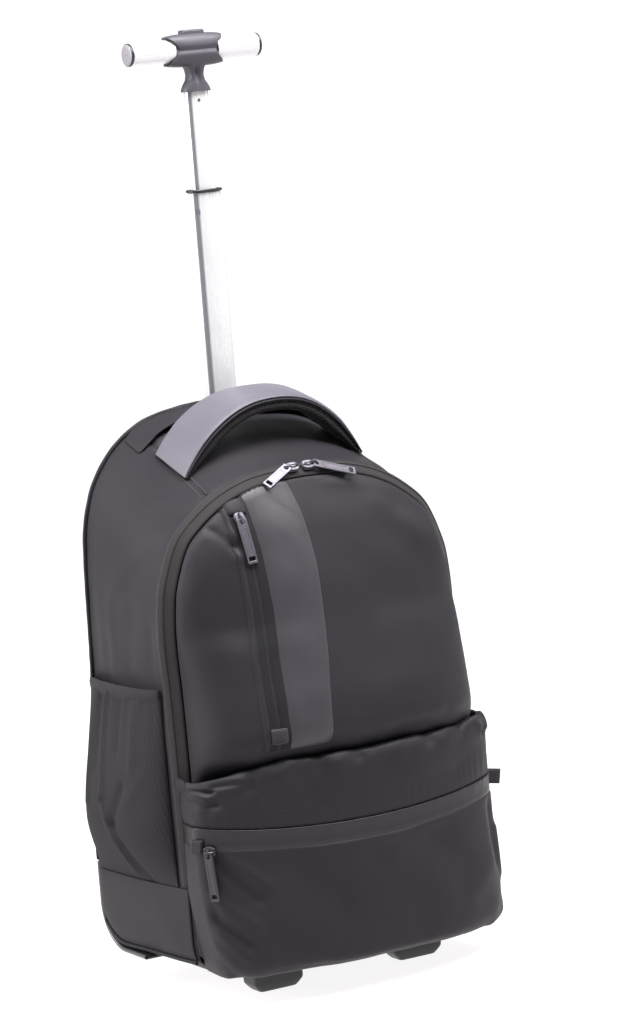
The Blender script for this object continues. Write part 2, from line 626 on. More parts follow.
panel_rim = grow(zip_outline, -ZIP_RIM_IN)
rim_right = panel_rim[(panel_rim[:, 0] > 0)]
rim_by_height = rim_right[np.argsort(rim_right[:, 2])]
rim_top = panel_rim[panel_rim[:, 2] >= rim_right[np.argmax(rim_right[:, 0]), 2]]
rim_by_side = rim_top[np.argsort(rim_top[:, 0])]


def panel_half_width(z):
    low = np.interp(z, rim_by_height[:, 2], rim_by_height[:, 0])
    zipped = np.clip((z - ZIP_END) / 8, 0, 1)
    return low + (1 - zipped) * (ZIP_RIM_IN - 0.3)


def panel_top(x):
    return np.interp(x, rim_by_side[:, 0], rim_by_side[:, 2])


def panel_edge(z):
    zipped = np.clip((z - ZIP_END) / 8, 0, 1)
    return mix(-ZIP_RIM_FORWARD * 0.2 - 0.3, -ZIP_RIM_FORWARD, zipped)


def panel_at(x, z, lift=0.0):
    """Places on the front panel's outer face, lifted forward."""
    up = (z - BAG_BOTTOM) / panel_rise
    square = panel_square(up)
    share = np.clip(np.abs(x) / panel_half_width(np.minimum(z, panel_shoulder)), 0, 1)
    rise = panel_bulge(up) * PANEL_BULGE * (1 - share ** square) ** (1 / square)
    arched = np.clip((z - panel_flat_top) / np.maximum(panel_top(x) - panel_flat_top, 1), 0, 1)
    fade = np.sqrt(1 - np.clip((arched - 0.8) / 0.2, 0, 1) ** 2.2)
    return np.stack(np.broadcast_arrays(x, panel_edge(z) - fade * rise - lift, z), -1)


PANEL_FOLDS = (
    # two ends of a crease in mm (side, depth, height), width and height in mm
    ((-106, -7, 420), (-84, -22, 399), 3.4, -6.0), ((-84, -22, 401), (-83, -23, 397), 4.5, -5.0),
    ((-108, -8, 409), (-90, -20, 389), 5, 2.8),
    ((-84, -22, 412), (-80, -26, 390), 6, 1.5), ((-118, -14, 380), (-100, -28, 330), 14, -1.2),
    ((-120, -30, 250), (-105, -55, 232), 8, 1.6), ((-128, -30, 262), (-112, -50, 240), 6, -1.6),
    ((-60, -70, 222), (-20, -74, 226), 9, -1.3), ((40, -72, 224), (88, -62, 230), 9, -1.5),
    ((96, -50, 236), (118, -34, 246), 7, 1.6), ((100, -55, 226), (126, -30, 234), 5, -2.0),
    ((20, -4, 446), (78, -6, 430), 8, 1.6), ((88, -14, 412), (112, -12, 396), 9, -1.6),
    ((66, -18, 420), (100, -20, 385), 14, 1.5), ((8, -34, 400), (50, -44, 340), 26, -1.0),
    ((128, -14, 320), (120, -36, 262), 9, 1.3),
    ((138, -8, 290), (132, -24, 226), 20, 4.2),
)
flat_levels = mix(BAG_BOTTOM, panel_flat_top, np.r_[np.linspace(0, 0.72, 14), np.linspace(0.74, 1, 28)])
arch_levels = 1 - (1 - np.linspace(0, 1, 84)[1:]) ** 1.35
PANEL_COLUMNS = 190
swing = np.cos(np.pi * np.linspace(0, 1, PANEL_COLUMNS))
panel_rows = []
for level in flat_levels:
    square = panel_square((level - BAG_BOTTOM) / panel_rise)
    x = -np.sign(swing) * np.abs(swing) ** (2 / square) * panel_half_width(level)
    panel_rows.append(panel_at(x, np.full(PANEL_COLUMNS, level)))
for arched in arch_levels:
    level = mix(panel_flat_top, panel_shoulder, arched)
    square = panel_square((level - BAG_BOTTOM) / panel_rise)
    share = -np.sign(swing) * np.abs(swing) ** (2 / square)
    x = share * panel_half_width(level)
    for _ in range(2):
        z = mix(panel_flat_top, panel_top(x), arched)
        x = share * panel_half_width(np.minimum(z, panel_shoulder))
    panel_rows.append(panel_at(x, z))
panel_grid = np.array(panel_rows)
panel_edge_fade = (np.clip((1 - np.abs(swing)) * 16, 0, 1) ** 1.5)[None, :] * np.r_[
    np.ones(len(flat_levels)), np.clip((1 - arch_levels) * 25, 0, 1)][:, None]
panel_push = folds(panel_grid, PANEL_FOLDS) + 0.7 * ripple(panel_grid, 120, 1.0)
panel_push += 0.3 * ripple(panel_grid, 45, 4.0)
panel_grid += normals_of(panel_grid) * (panel_push * panel_edge_fade)[:, :, None]
grid_piece("front_panel_cloth", panel_grid, bag_cloth, "bag", "bag_cloth", "front_panel", wall=1.6)


def on_panel(x, z, lift=0.0):
    """Places on the finished front panel, with its dents, lifted off the cloth."""
    x, z, lift = np.broadcast_arrays(np.asarray(x, float), np.asarray(z, float), lift)
    across = panel_at(x + 0.7, z) - panel_at(x - 0.7, z)
    upwards = panel_at(x, z + 0.7) - panel_at(x, z - 0.7)
    normal = np.cross(across, upwards)
    normal /= np.maximum(np.linalg.norm(normal, axis=-1), 1e-9)[..., None]
    place = panel_at(x, z)
    dents = folds(place, PANEL_FOLDS) + 0.7 * ripple(place, 120, 1.0) + 0.3 * ripple(place, 45, 4.0)
    room = np.clip((panel_top(x) - z) / 6, 0, 1)
    return place + normal * (dents * room + lift)[..., None]


# Band: a strip of smooth coated cloth, folded under along both edges and sewn over the panel from
# the zip down to the lower pocket. It bows to the right and catches more light than the bag.
BAND_EDGES = np.array((
    # up, left edge and right edge as shares of half the bag's width
    (0.400, -0.477, -0.220), (0.478, -0.471, -0.210), (0.548, -0.465, -0.187), (0.630, -0.449, -0.142),
    (0.735, -0.416, -0.103), (0.833, -0.413, -0.084), (0.912, -0.422, -0.094), (1.000, -0.439, -0.142),
))
BAND_BOTTOM_UP = 0.455
band_left = curve_through(BAND_EDGES[:, 0], BAND_EDGES[:, 1] * BAG_WIDTH / 2)
band_right = curve_through(BAND_EDGES[:, 0], BAND_EDGES[:, 2] * BAG_WIDTH / 2)
band_bottom = BAG_BOTTOM + BAND_BOTTOM_UP * panel_rise
band_cloth = woven("band_cloth", (0.023, 0.020, 0.025), (0.039, 0.034, 0.043), 0.44, (1700, 1700), 0.05,
                   sheen=0.1, coat=0.1, shine=0.35)


def laid_strip(left, right, bottom, top, lifts, rows, columns, tuck_top=0.6):
    """A strip of cloth on the front panel between two edges, with a cross-section of lifts."""
    level = np.linspace(bottom, top, rows)[:, None]
    share = np.linspace(0, 1, columns)[None, :]
    up = (level - BAG_BOTTOM) / panel_rise
    x = mix(left(up), right(up), share)
    z = np.minimum(level, panel_top(x) - tuck_top)
    profile = curve_through(np.linspace(0, 1, len(lifts)), lifts)(share)
    return on_panel(x, z, profile + np.zeros_like(x))


BAND_FOLDS = (
    ((-52, -30, 425), (-22, -40, 395), 7, 0.5), ((-58, -38, 400), (-24, -50, 372), 6, -0.45),
    ((-44, -20, 440), (-20, -30, 418), 5, -0.5), ((-62, -72, 250), (-36, -74, 232), 9, 0.5),
)
band_grid = laid_strip(band_left, band_right, band_bottom, ZIP_TOP,
                       (0.6, 1.9, 2.3, 2.35, 2.3, 1.9, 0.6), 190, 44)
band_grid += normals_of(band_grid) * folds(band_grid, BAND_FOLDS)[:, :, None]
grid_piece("accent_band_cloth", band_grid, band_cloth, "bag", "band_cloth", "accent_band", wall=0.9)
band_thread = woven("band_thread", (0.05, 0.046, 0.054), (0.10, 0.092, 0.108), 0.6, (3000, 3000), 0.02)
sew("band_stitches", [lifted(band_grid, column=3, height=0.05), lifted(band_grid, column=40, height=0.05)],
    slot="band_cloth", pitch=3.2, length=2.4, thickness=0.42, look=band_thread)

# Slot zip: an upright zip in a narrow gap between the band and a lip of the bag's cloth. Its tape
# is sewn behind both, a cloth garage covers its top end and a loop of webbing its lower end.
SLOT_TAPE_WIDTH = 20.0
slot_top = BAG_BOTTOM + 0.945 * panel_rise
slot_left = lambda up: band_left(up) - SLOT_TAPE_WIDTH
slot_right = lambda up: band_left(up) + 1.5
slot_grid = laid_strip(slot_left, slot_right, band_bottom, slot_top + 3,
                       (0.5, 0.8, 0.75, 0.5, -0.2, 0.5, 0.75, 0.8, 0.8),
                       150, 34)
slot_cloth = woven("slot_cloth", (0.004, 0.0035, 0.004), (0.010, 0.0085, 0.0105), 0.7, (900, 700),
                   0.14, slant=0.35)
grid_piece("slot_zip_cloth", slot_grid, slot_cloth, "bag", "zip_tape", "slot_zip_tape", wall=0.7)
lip_left = lambda up: band_left(up) - SLOT_TAPE_WIDTH - 3.5
lip_right = lambda up: band_left(up) - SLOT_TAPE_WIDTH + 3.2
lip_grid = laid_strip(lip_left, lip_right, band_bottom, slot_top + 6,
                      (0.0, 0.9, 1.7, 1.9, 1.7, 1.0, 0.5), 150, 14)
grid_piece("slot_lip", lip_grid, bag_cloth, "bag", "bag_cloth", wall=0.8)
sew("slot_stitches", [lifted(lip_grid, column=4, height=0.05)], pitch=3.0, length=2.2, thickness=0.4)


def slot_patch(name, half_width, top, height, lifts, material, slot, *nodes, wall=0.8):
    """A small piece of cloth across the slot zip, and its grid of points for the sewing."""
    level = np.linspace(top - height, top, 14)[:, None]
    share = np.linspace(-1, 1, 14)[None, :]
    middle = band_left((level - BAG_BOTTOM) / panel_rise) - SLOT_TAPE_WIDTH / 2
    x = middle + share * half_width
    profile = curve_through(np.linspace(-1, 1, len(lifts)), lifts)(share)
    rolled = (1.2 * np.clip(1 - np.abs(level - top) / 1.5, 0, 1)
              + np.clip(1 - (level - top + height) / 1.5, 0, 1))
    z = np.minimum(level, panel_top(x) - 0.5) + np.zeros_like(x)
    grid = on_panel(x, z, profile - rolled)
    grid_piece(name, grid, material, "bag", slot, *nodes, wall=wall)
    return grid


garage_grid = slot_patch("slot_garage", 9.5, slot_top + 5, 13, (1.0, 3.0, 3.4, 3.4, 3.0, 1.0),
                         bag_cloth, "bag_cloth", "slot_top_tab")
webbing = woven("webbing", (0.013, 0.012, 0.014), (0.034, 0.031, 0.036), 0.6, (60, 900), 0.35, sheen=0.1)
slot_patch("slot_end_loop", 7.4, band_bottom + 19, 13, (1.6, 2.6, 2.8, 2.8, 2.6, 1.6),
           webbing, "webbing", "slot_end_tab")
sew("garage_stitches", [lifted(garage_grid, row=4, height=0.05)], pitch=2.4, length=1.8, thickness=0.35)

# Metal zip fittings: each slider is a cast body with a bridge, from which a flat pull hangs. The
# pull has an eye by the slider and a narrow window near its free end. Gunmetal plating.
def brushed(name, colour, roughness, metallic, scratches=(18, 900, 900), depth=0.02):
    """A metal or hard plastic finish with fine scratches along its parts."""
    material = bpy.data.materials.new(name)
    material.use_nodes = True
    tree = material.node_tree
    shader = tree.nodes["Principled BSDF"]
    place = tree.nodes.new("ShaderNodeTexCoord")
    stretch = tree.nodes.new("ShaderNodeMapping")
    stretch.inputs["Scale"].default_value = scratches
    lines = tree.nodes.new("ShaderNodeTexNoise")
    lines.inputs["Scale"].default_value = 1.0
    lines.inputs["Detail"].default_value = 5
    smudge = tree.nodes.new("ShaderNodeTexNoise")
    smudge.inputs["Scale"].default_value = 55
    tree.links.new(place.outputs["Object"], stretch.inputs["Vector"])
    tree.links.new(stretch.outputs["Vector"], lines.inputs["Vector"])
    tree.links.new(place.outputs["Object"], smudge.inputs["Vector"])
    both = calculate(tree, "MULTIPLY_ADD", lines.outputs[0], 0.6,
                     calculate(tree, "MULTIPLY", smudge.outputs[0], 0.4))
    rough = calculate(tree, "MULTIPLY_ADD", both, 0.22, roughness - 0.11)
    tree.links.new(rough, shader.inputs["Roughness"])
    tint = tree.nodes.new("ShaderNodeMix")
    tint.data_type = "RGBA"
    tint.inputs["A"].default_value = (*[c * 0.86 for c in colour], 1)
    tint.inputs["B"].default_value = (*[min(1, c * 1.12) for c in colour], 1)
    tree.links.new(both, tint.inputs["Factor"])
    tree.links.new(tint.outputs["Result"], shader.inputs["Base Color"])
    bump = tree.nodes.new("ShaderNodeBump")
    bump.inputs["Distance"].default_value = depth * MM
    bump.inputs["Strength"].default_value = 0.6
    tree.links.new(lines.outputs[0], bump.inputs["Height"])
    tree.links.new(bump.outputs["Normal"], shader.inputs["Normal"])
    shader.inputs["Metallic"].default_value = metallic
    return material


gunmetal = brushed("gunmetal", (0.15, 0.137, 0.163), 0.42, 0.9)


def flat_shape(name, splines, thickness, bevel):
    """A plate cut to closed outlines in mm, the first outside and the others holes."""
    curve = bpy.data.curves.new(name, "CURVE")
    curve.dimensions = "2D"
    curve.fill_mode = "BOTH"
    curve.extrude = (thickness / 2 - bevel) * MM
    curve.bevel_depth = bevel * MM
    curve.bevel_resolution = 2
    curve.offset = -bevel * MM
    for outline in splines:
        spline = curve.splines.new("POLY")
        spline.points.add(len(outline) - 1)
        spline.use_cyclic_u = True
        for k, (x, y) in enumerate(outline):
            spline.points[k].co = (x * MM, y * MM, 0, 1)
    holder = bpy.data.objects.new(name, curve)
    bpy.context.scene.collection.objects.link(holder)
    evaluated = holder.evaluated_get(bpy.context.evaluated_depsgraph_get())
    mesh = bpy.data.meshes.new_from_object(evaluated)
    bpy.data.objects.remove(holder)
    return mesh


def rounded(x0, x1, y0, y1, radius, corner=5):
    """A rectangle with round corners as points."""
    points = []
    for cx, cy, turn in ((x1, y1, 0), (x0, y1, 1), (x0, y0, 2), (x1, y0, 3)):
        ox = cx - radius if cx == x1 else cx + radius
        oy = cy - radius if cy == y1 else cy + radius
        for k in range(corner + 1):
            angle = (turn + k / corner) * math.pi / 2
            points.append((ox + radius * math.cos(angle), oy + radius * math.sin(angle)))
    return points


def bent_rod(name, points, radius, around=8):
    """A round wire through points in mm, closed at its ends."""
    points = np.array(points, float)
    run = np.gradient(points, axis=0)
    run /= np.linalg.norm(run, axis=1)[:, None]
    side = np.cross(run, np.array((0.13, 0.29, 0.95)))
    side /= np.linalg.norm(side, axis=1)[:, None]
    other = np.cross(run, side)
    angle = np.linspace(0, 2 * np.pi, around, endpoint=False)
    rings = points[:, None] + radius * (side[:, None] * np.cos(angle)[:, None] + other[:, None]
                                        * np.sin(angle)[:, None])
    faces = []
    for r in range(len(points) - 1):
        for c in range(around):
            d = (c + 1) % around
            faces.append((r * around + c, r * around + d, (r + 1) * around + d, (r + 1) * around + c))
    faces.append(tuple(range(around)))
    faces.append(tuple(reversed(range((len(points) - 1) * around, len(points) * around))))
    mesh = bpy.data.meshes.new(name)
    mesh.from_pydata((rings.reshape(-1, 3) * MM).tolist(), [], faces)
    volume = sum(p.normal.dot(p.center) * p.area for p in mesh.polygons)
    if volume < 0:
        mesh.flip_normals()
    return mesh


def in_place(origin, along, normal):
    """A matrix that lays X along a direction and Z along a normal, from a place in mm."""
    along = Vector(along).normalized()
    normal = Vector(normal)
    normal = (normal - along * normal.dot(along)).normalized()
    side = normal.cross(along)
    place = (Vector(origin) + Vector((0, ZIP_PLANE, 0))) * MM
    return Matrix(((along.x, side.x, normal.x, place.x), (along.y, side.y, normal.y, place.y),
                   (along.z, side.z, normal.z, place.z), (0, 0, 0, 1)))


def joined(name, parts):
    """One mesh out of several, each laid by its own matrix."""
    points, faces = [], []
    for mesh, matrix in parts:
        first = len(points)
        points += [tuple(matrix @ v.co) for v in mesh.vertices]
        faces += [tuple(first + i for i in p.vertices) for p in mesh.polygons]
    mesh = bpy.data.meshes.new(name)
    mesh.from_pydata(points, [], faces)
    mesh.shade_smooth()
    mesh.set_sharp_from_angle(angle=math.radians(40))
    return mesh


def zip_slider(name, place, along, normal, length, width, body, slot, material, *nodes):
    """A slider: its body lies along the zip and a bridge stands on it."""
    waist = [(-length / 2, -width * 0.34), (-length * 0.1, -width * 0.5), (length * 0.3, -width * 0.5),
             (length / 2, -width * 0.36), (length / 2, width * 0.36), (length * 0.3, width * 0.5),
             (-length * 0.1, width * 0.5), (-length / 2, width * 0.34)]
    plate_mesh = flat_shape(name + "_plate", [waist], 2.0, 0.6)
    lower_mesh = flat_shape(name + "_lower", [waist], 1.2, 0.3)
    bow = [(length * 0.42 * math.cos(a), 0, 0.6 + 3.0 * math.sin(a))
           for a in np.linspace(0.05, math.pi - 0.05, 11)]
    bridge = bent_rod(name + "_bridge", bow, 1.0)
    lay = in_place(place, along, normal)
    mesh = joined(name, [(plate_mesh, lay @ Matrix.Translation((0, 0, 1.0 * MM))),
                         (bridge, lay @ Matrix.Translation((0, 0, 1.2 * MM))),
                         (lower_mesh, lay @ Matrix.Translation((0, 0, -0.9 * MM)))])
    return show(name, mesh, material, body, slot, *nodes)


def zip_pull(name, start, end, normal, width, thickness, body, slot, material, *nodes):
    """A pull: a plate with an eye and a window, and the small ring that holds it."""
    length = (Vector(end) - Vector(start)).length
    edge = rounded(0, length, -width / 2, width / 2, width * 0.1)
    eye = [(3.4 + 1.9 * math.cos(a), 2.2 * math.sin(a))
           for a in np.linspace(0, 2 * math.pi, 18, endpoint=False)]
    window = rounded(length - 6.2, length - 2.4, -width * 0.33, width * 0.33, 0.4, 3)
    plate_mesh = flat_shape(name + "_plate", [edge, eye, window], thickness, thickness * 0.22)
    frame_out = rounded(8.2, length - 7.2, -width * 0.36, width * 0.36, 0.8, 3)
    frame_in = rounded(9.0, length - 8.0, -width * 0.27, width * 0.27, 0.5, 3)
    rim = flat_shape(name + "_rim", [frame_out, frame_in], 0.5, 0.12)
    ring_line = [(0.4 + 3.0 * math.cos(a), 0.4, 2.2 * math.sin(a)) for a in np.linspace(0, 2 * math.pi, 19)]
    ring = bent_rod(name + "_ring", ring_line, 0.75, 6)
    lay = in_place(start, Vector(end) - Vector(start), normal)
    mesh = joined(name, [(plate_mesh, lay), (ring, lay),
                         (rim, lay @ Matrix.Translation((0, 0, thickness / 2 * MM)))])
    return show(name, mesh, material, body, slot, *nodes)


slot_middle = lambda z: float(band_left((z - BAG_BOTTOM) / panel_rise)) - SLOT_TAPE_WIDTH / 2
slot_places = [on_panel(slot_middle(z), z, 3.0) for z in (slot_top - 6.5, slot_top - 17.5)]
slot_normal = np.cross(on_panel(5.0, 400.0) - on_panel(-5.0, 400.0), on_panel(0.0, 405.0)
                       - on_panel(0.0, 395.0))
zip_slider("slot_slider_cast", (slot_places[0] + slot_places[1]) / 2, slot_places[0] - slot_places[1],
           slot_normal, 11, 9, "bag", "gunmetal", gunmetal, "slot_slider")
pull_top = on_panel(slot_middle(slot_top - 13), slot_top - 13, 5.4)
pull_end = on_panel(slot_middle(slot_top - 50) + 0.4, slot_top - 50, 2.8)
zip_pull("slot_pull_plate", pull_top, pull_end, slot_normal, 9.8, 1.6, "bag", "gunmetal",
         gunmetal, "slot_pull")

MAIN_SLIDERS = (
    # side, place along the top, which way it points, length of the pull, how far it drops
    ("left", -9, -1, 29, 13), ("right", 8, 1, 37, 12),
)
zip_slant = np.array((0, -0.7071, 0.7071))
for side, slider_x, way, pull_length, drop in MAIN_SLIDERS:
    zip_top_at = lambda x: float(np.interp(x, rim_by_side[:, 0], rim_by_side[:, 2])) + ZIP_RIM_IN
    middle = np.array((slider_x, 0, zip_top_at(slider_x))) + zip_slant * 2.4
    zip_slider(f"main_slider_{side}_cast", middle, (-way, 0, 0), zip_slant, 11.5, 9, "bag",
               "gunmetal", gunmetal,
               f"main_slider_{side}")
    start = middle + zip_slant * 2.2 + np.array((way * 4.5, 0, 0))
    end = start + np.array((way * pull_length, 0, -drop))
    end[1] = panel_at(end[0], min(end[2], panel_top(end[0]) - 2))[1] - 4
    zip_pull(f"main_pull_{side}_plate", start, end, (0, -0.62, 0.78), 8.8, 1.6, "bag", "gunmetal", gunmetal,
             f"main_pull_{side}")


# Lower pocket: puffy cloth round the foot of the front panel. Its roof is gathered into the side
# seams and bulges over the fold line, a coated zip tape runs round it, and the front is slack.
POCKET_HALF_WIDTH = 153.5
POCKET_BULGE = 50.0
POCKET_TOP = 215.0
POCKET_ZIP = 146.6
POCKET_ZIP_SAG = 10.0
POCKET_TAPE_HEIGHT = 16.0
POCKET_UNDERSIDE = 25.7
zip_up = (POCKET_ZIP - POCKET_UNDERSIDE) / (POCKET_TOP - POCKET_UNDERSIDE)
tape_up = zip_up + POCKET_TAPE_HEIGHT / (POCKET_TOP - POCKET_UNDERSIDE)
POCKET_SECTIONS = {
    # rows of: up, side, seam, bulge and sag, as in the pocket's plan at each height
    "roof": ((0.915, 0.966, 0.22, 0.56, 0.0), (0.962, 0.978, 0.30, 0.84, 0.0),
             (0.997, 0.985, 0.40, 0.95, 0.1),
             (1.0, 0.988, 0.47, 1.0, 0.2), (0.968, 0.990, 0.53, 1.02, 0.4), (0.9, 0.993, 0.56, 1.02, 0.7),
             (tape_up, 0.998, 0.57, 1.01, 1.0)),
    "tape": ((tape_up, 0.998, 0.57, 1.01, 1.0), (zip_up - 0.02, 0.998, 0.57, 1.01, 1.0)),
    "front": ((zip_up, 0.998, 0.57, 1.01, 1.0), (0.55, 0.998, 0.60, 1.0, 1.0), (0.38, 0.995, 0.68, 0.98, 0.9),
              (0.2, 0.99, 0.76, 0.95, 0.8), (0.09, 0.985, 0.82, 0.9, 0.7), (0.03, 0.965, 0.8, 0.8, 0.2),
              (0.0, 0.93, 0.7, 0.62, 0.0), (0.0, 0.9, 0.34, 0.06, 0.0)),
}
zip_plan = zip_outline[zip_outline[:, 0] > 0]
zip_plan = zip_plan[np.argsort(zip_plan[:, 2])]


def pocket_grid(part, rows, columns=150, ends=9):
    """A grid of one part of the pocket, from its left side seam round to its right one."""
    table = np.array(POCKET_SECTIONS[part])
    place = np.linspace(0, len(table) - 1, rows)
    up, side, seam, bulge, sag = (curve_through(np.arange(len(table)), table[:, i])(place)[:, None]
                                  for i in range(5))
    height = POCKET_UNDERSIDE + up * (POCKET_TOP - POCKET_UNDERSIDE)
    angle = np.linspace(0, np.pi, columns)[None, :]
    half = side * POCKET_HALF_WIDTH
    x = -np.cos(angle) * half
    y = -seam * POCKET_BULGE - np.sin(angle) * bulge * POCKET_BULGE
    z = height - sag * POCKET_ZIP_SAG * (1 - (x / half) ** 2)
    shell_side = np.interp(np.maximum(height, 52.5), zip_plan[:, 2], zip_plan[:, 0])
    end = np.minimum(half, shell_side + 2.6)
    back = np.linspace(0, 1, ends, endpoint=False)[None, :]
    returns = []
    for sign in (-1, 1):
        ex = sign * mix(end, half, back ** 0.6)
        ey = mix(-2.0, -seam * POCKET_BULGE, back)
        returns.append(np.stack([ex, ey, height + 0 * back], 2))
    return np.concatenate([returns[0], np.stack([x, y, z], 2), returns[1][:, ::-1]], 1)


ROOF_FOLDS = (
    ((-155, -24, 214), (-145, -43, 197), 3.6, 3.2), ((-153, -28, 192), (-139, -49, 188), 4.0, -3.0),
    ((-155, -27, 209), (-141, -46, 203), 2.6, -3.4), ((-150, -30, 204), (-118, -58, 206), 6, 2.2),
    ((-140, -48, 209), (-120, -60, 206), 3.5, -2.6),
    ((-111, -63, 200), (-108, -62, 210), 8, -2.4), ((-82, -70, 206), (-78, -70, 212), 11, 1.6),
    ((-47, -76, 206), (-46, -72, 212), 7, -2.2), ((-28, -77, 208), (-26, -77, 213), 9, 1.5),
    ((-7, -78, 209), (-8, -76, 213), 7, -2.2), ((34, -76, 208), (36, -76, 212), 13, 1.4),
    ((69, -72, 209), (68, -70, 213), 6, -2.6), ((90, -66, 208), (92, -66, 213), 9, 1.8),
    ((110, -59, 213), (108, -60, 209), 5, -2.8), ((128, -50, 214), (136, -48, 205), 5, 2.6),
    ((146, -38, 214), (140, -46, 202), 3.2, -4.6), ((153, -30, 212), (149, -38, 204), 3.5, 2.6),
    ((-110, -62, 178), (-60, -74, 186), 12, -1.2), ((20, -78, 180), (80, -72, 196), 16, 1.2),
    ((-135, -52, 176), (-105, -66, 184), 8, 1.4), ((100, -62, 178), (140, -45, 196), 9, -1.2),
)
FRONT_FOLDS = (
    ((-144, -47, 135), (-113, -67, 97), 7, -2.6), ((-138, -52, 136), (-104, -70, 108), 6, 1.8),
    ((-147, -47, 100), (-116, -68, 71), 6.5, 2.4), ((-149, -47, 84), (-124, -66, 58), 5, -2.4),
    ((-149, -47, 73), (-127, -65, 45), 5, 2.0), ((-151, -44, 42), (-126, -50, 20), 9, -2.6),
    ((-150, -46, 120), (-149, -48, 78), 6, -1.8), ((-96, -72, 34), (-60, -76, 30), 12, -1.6),
    ((142, -49, 141), (142, -53, 83), 6, -2.6), ((150, -42, 110), (148, -46, 70), 5, 1.8),
    ((150, -40, 60), (138, -52, 40), 6, -2.2), ((146, -44, 36), (128, -56, 30), 5, 2.0),
    ((-75, -75, 118), (-42, -82, 86), 15, -2.2), ((24, -80, 118), (73, -80, 63), 18, 1.8),
    ((60, -78, 128), (96, -72, 96), 14, -1.6), ((-20, -82, 60), (40, -84, 44), 16, -1.5),
    ((100, -70, 60), (134, -56, 84), 12, 1.5), ((-60, -80, 56), (-100, -72, 84), 14, 1.3),
)


def rolled_edge(grid, edge, depth, reach=3):
    """Bends the first or the last rows of a grid inwards, like an edge that is folded under."""
    normal = normals_of(grid)
    rows = np.arange(len(grid)) if edge == "first" else np.arange(len(grid))[::-1]
    inwards = depth * np.clip(1 - rows / reach, 0, 1) ** 2
    return grid - normal * inwards[:, None, None]


roof_grid = pocket_grid("roof", 60)
roof_up = np.clip(np.arange(60) / 8, 0, 1)[:, None] * np.clip((59 - np.arange(60)) / 5, 0, 1)[:, None]
wrinkle = 0.7 * ripple(roof_grid, 26, 3.0) * np.clip((roof_grid[:, :, 2] - 203) / 8, 0, 1)
seam_gather = 0.2 * np.sin(roof_grid[:, :, 0] * 0.85 + 3 * np.sin(roof_grid[:, :, 0] * 0.07))
seam_gather *= np.exp(-((np.arange(60) - 56)[:, None] / 3.0) ** 2)
roof_push = folds(roof_grid, ROOF_FOLDS) + 1.1 * ripple(roof_grid, 110, 5.0) + wrinkle
droop = 15 * np.clip((-roof_grid[:, :, 0] - 70) / 85, 0,
                     1) ** 1.4 * np.clip((roof_grid[:, :, 2] - 168) / 45, 0, 1)
roof_grid[:, :, 2] -= droop
roof_grid += normals_of(roof_grid) * (roof_push * roof_up + seam_gather)[:, :, None]
roof_grid = rolled_edge(roof_grid, "last", 1.1)
grid_piece("pocket_roof_cloth", roof_grid, bag_cloth, "bag", "bag_cloth", "pocket_roof", wall=1.2)

front_grid = pocket_grid("front", 96)
front_grid[:, :, 2] -= 0.6
low_share = np.clip((100 - front_grid[:, :, 2]) / 70, 0, 1) ** 1.3
front_grid[:, :, 0] += 10 * low_share * np.clip((-front_grid[:, :, 0] - 70) / 80, 0, 1)
front_rows = np.arange(96)[:, None]
front_fade = np.clip(front_rows / 10, 0, 1) * np.clip((95 - front_rows) / 14, 0, 1)
front_push = (folds(front_grid, FRONT_FOLDS) + 1.3 * ripple(front_grid, 130, 7.0)
              + 0.4 * ripple(front_grid, 48, 1.0))
front_grid += normals_of(front_grid) * (front_push * front_fade)[:, :, None]
front_grid = rolled_edge(front_grid, "first", 1.3)
grid_piece("pocket_front_cloth", front_grid, bag_cloth, "bag", "bag_cloth", "pocket_front", wall=1.2)

tape_grid = pocket_grid("tape", 18)
tape_row = np.linspace(0, 1, 18)[:, None]
tape_push = -1.5 * np.clip(tape_row - 0.75, 0, 1) / 0.25 - 0.5 * np.sin(np.pi * tape_row)
tape_push = (tape_push + 0.16 * ripple(tape_grid, 24, 2.0)
             + 0.3 * np.sin(tape_grid[:, :, 0] * 0.85) * np.exp(-tape_row / 0.12))
tape_grid += normals_of(tape_grid) * tape_push[:, :, None]
pocket_band_cloth = woven("coated_tape", (0.010, 0.0085, 0.0105), (0.019, 0.0165, 0.020), 0.38,
                          (1700, 1700), 0.03,
                          coat=0.05, shine=0.3)
grid_piece("pocket_zip_band", tape_grid, pocket_band_cloth, "bag", "band_cloth", "pocket_zip_tape", wall=0.9)
sew("pocket_stitches", [lifted(roof_grid, row=55, height=0.05)], pitch=3.0, length=2.2, thickness=0.4)


def pocket_at(share, z, lift):
    """A place on the pocket's front at a share of the way round and a height."""
    table = np.array(POCKET_SECTIONS["front"][:6])[::-1]
    up = min((z - POCKET_UNDERSIDE) / (POCKET_TOP - POCKET_UNDERSIDE), zip_up)
    side, seam, bulge = (np.interp(up, table[:, 0], table[:, i]) for i in (1, 2, 3))
    angle = math.pi * share
    return np.array((-math.cos(angle) * (side * POCKET_HALF_WIDTH + lift),
                     -seam * POCKET_BULGE - math.sin(angle) * (bulge * POCKET_BULGE + lift), z))


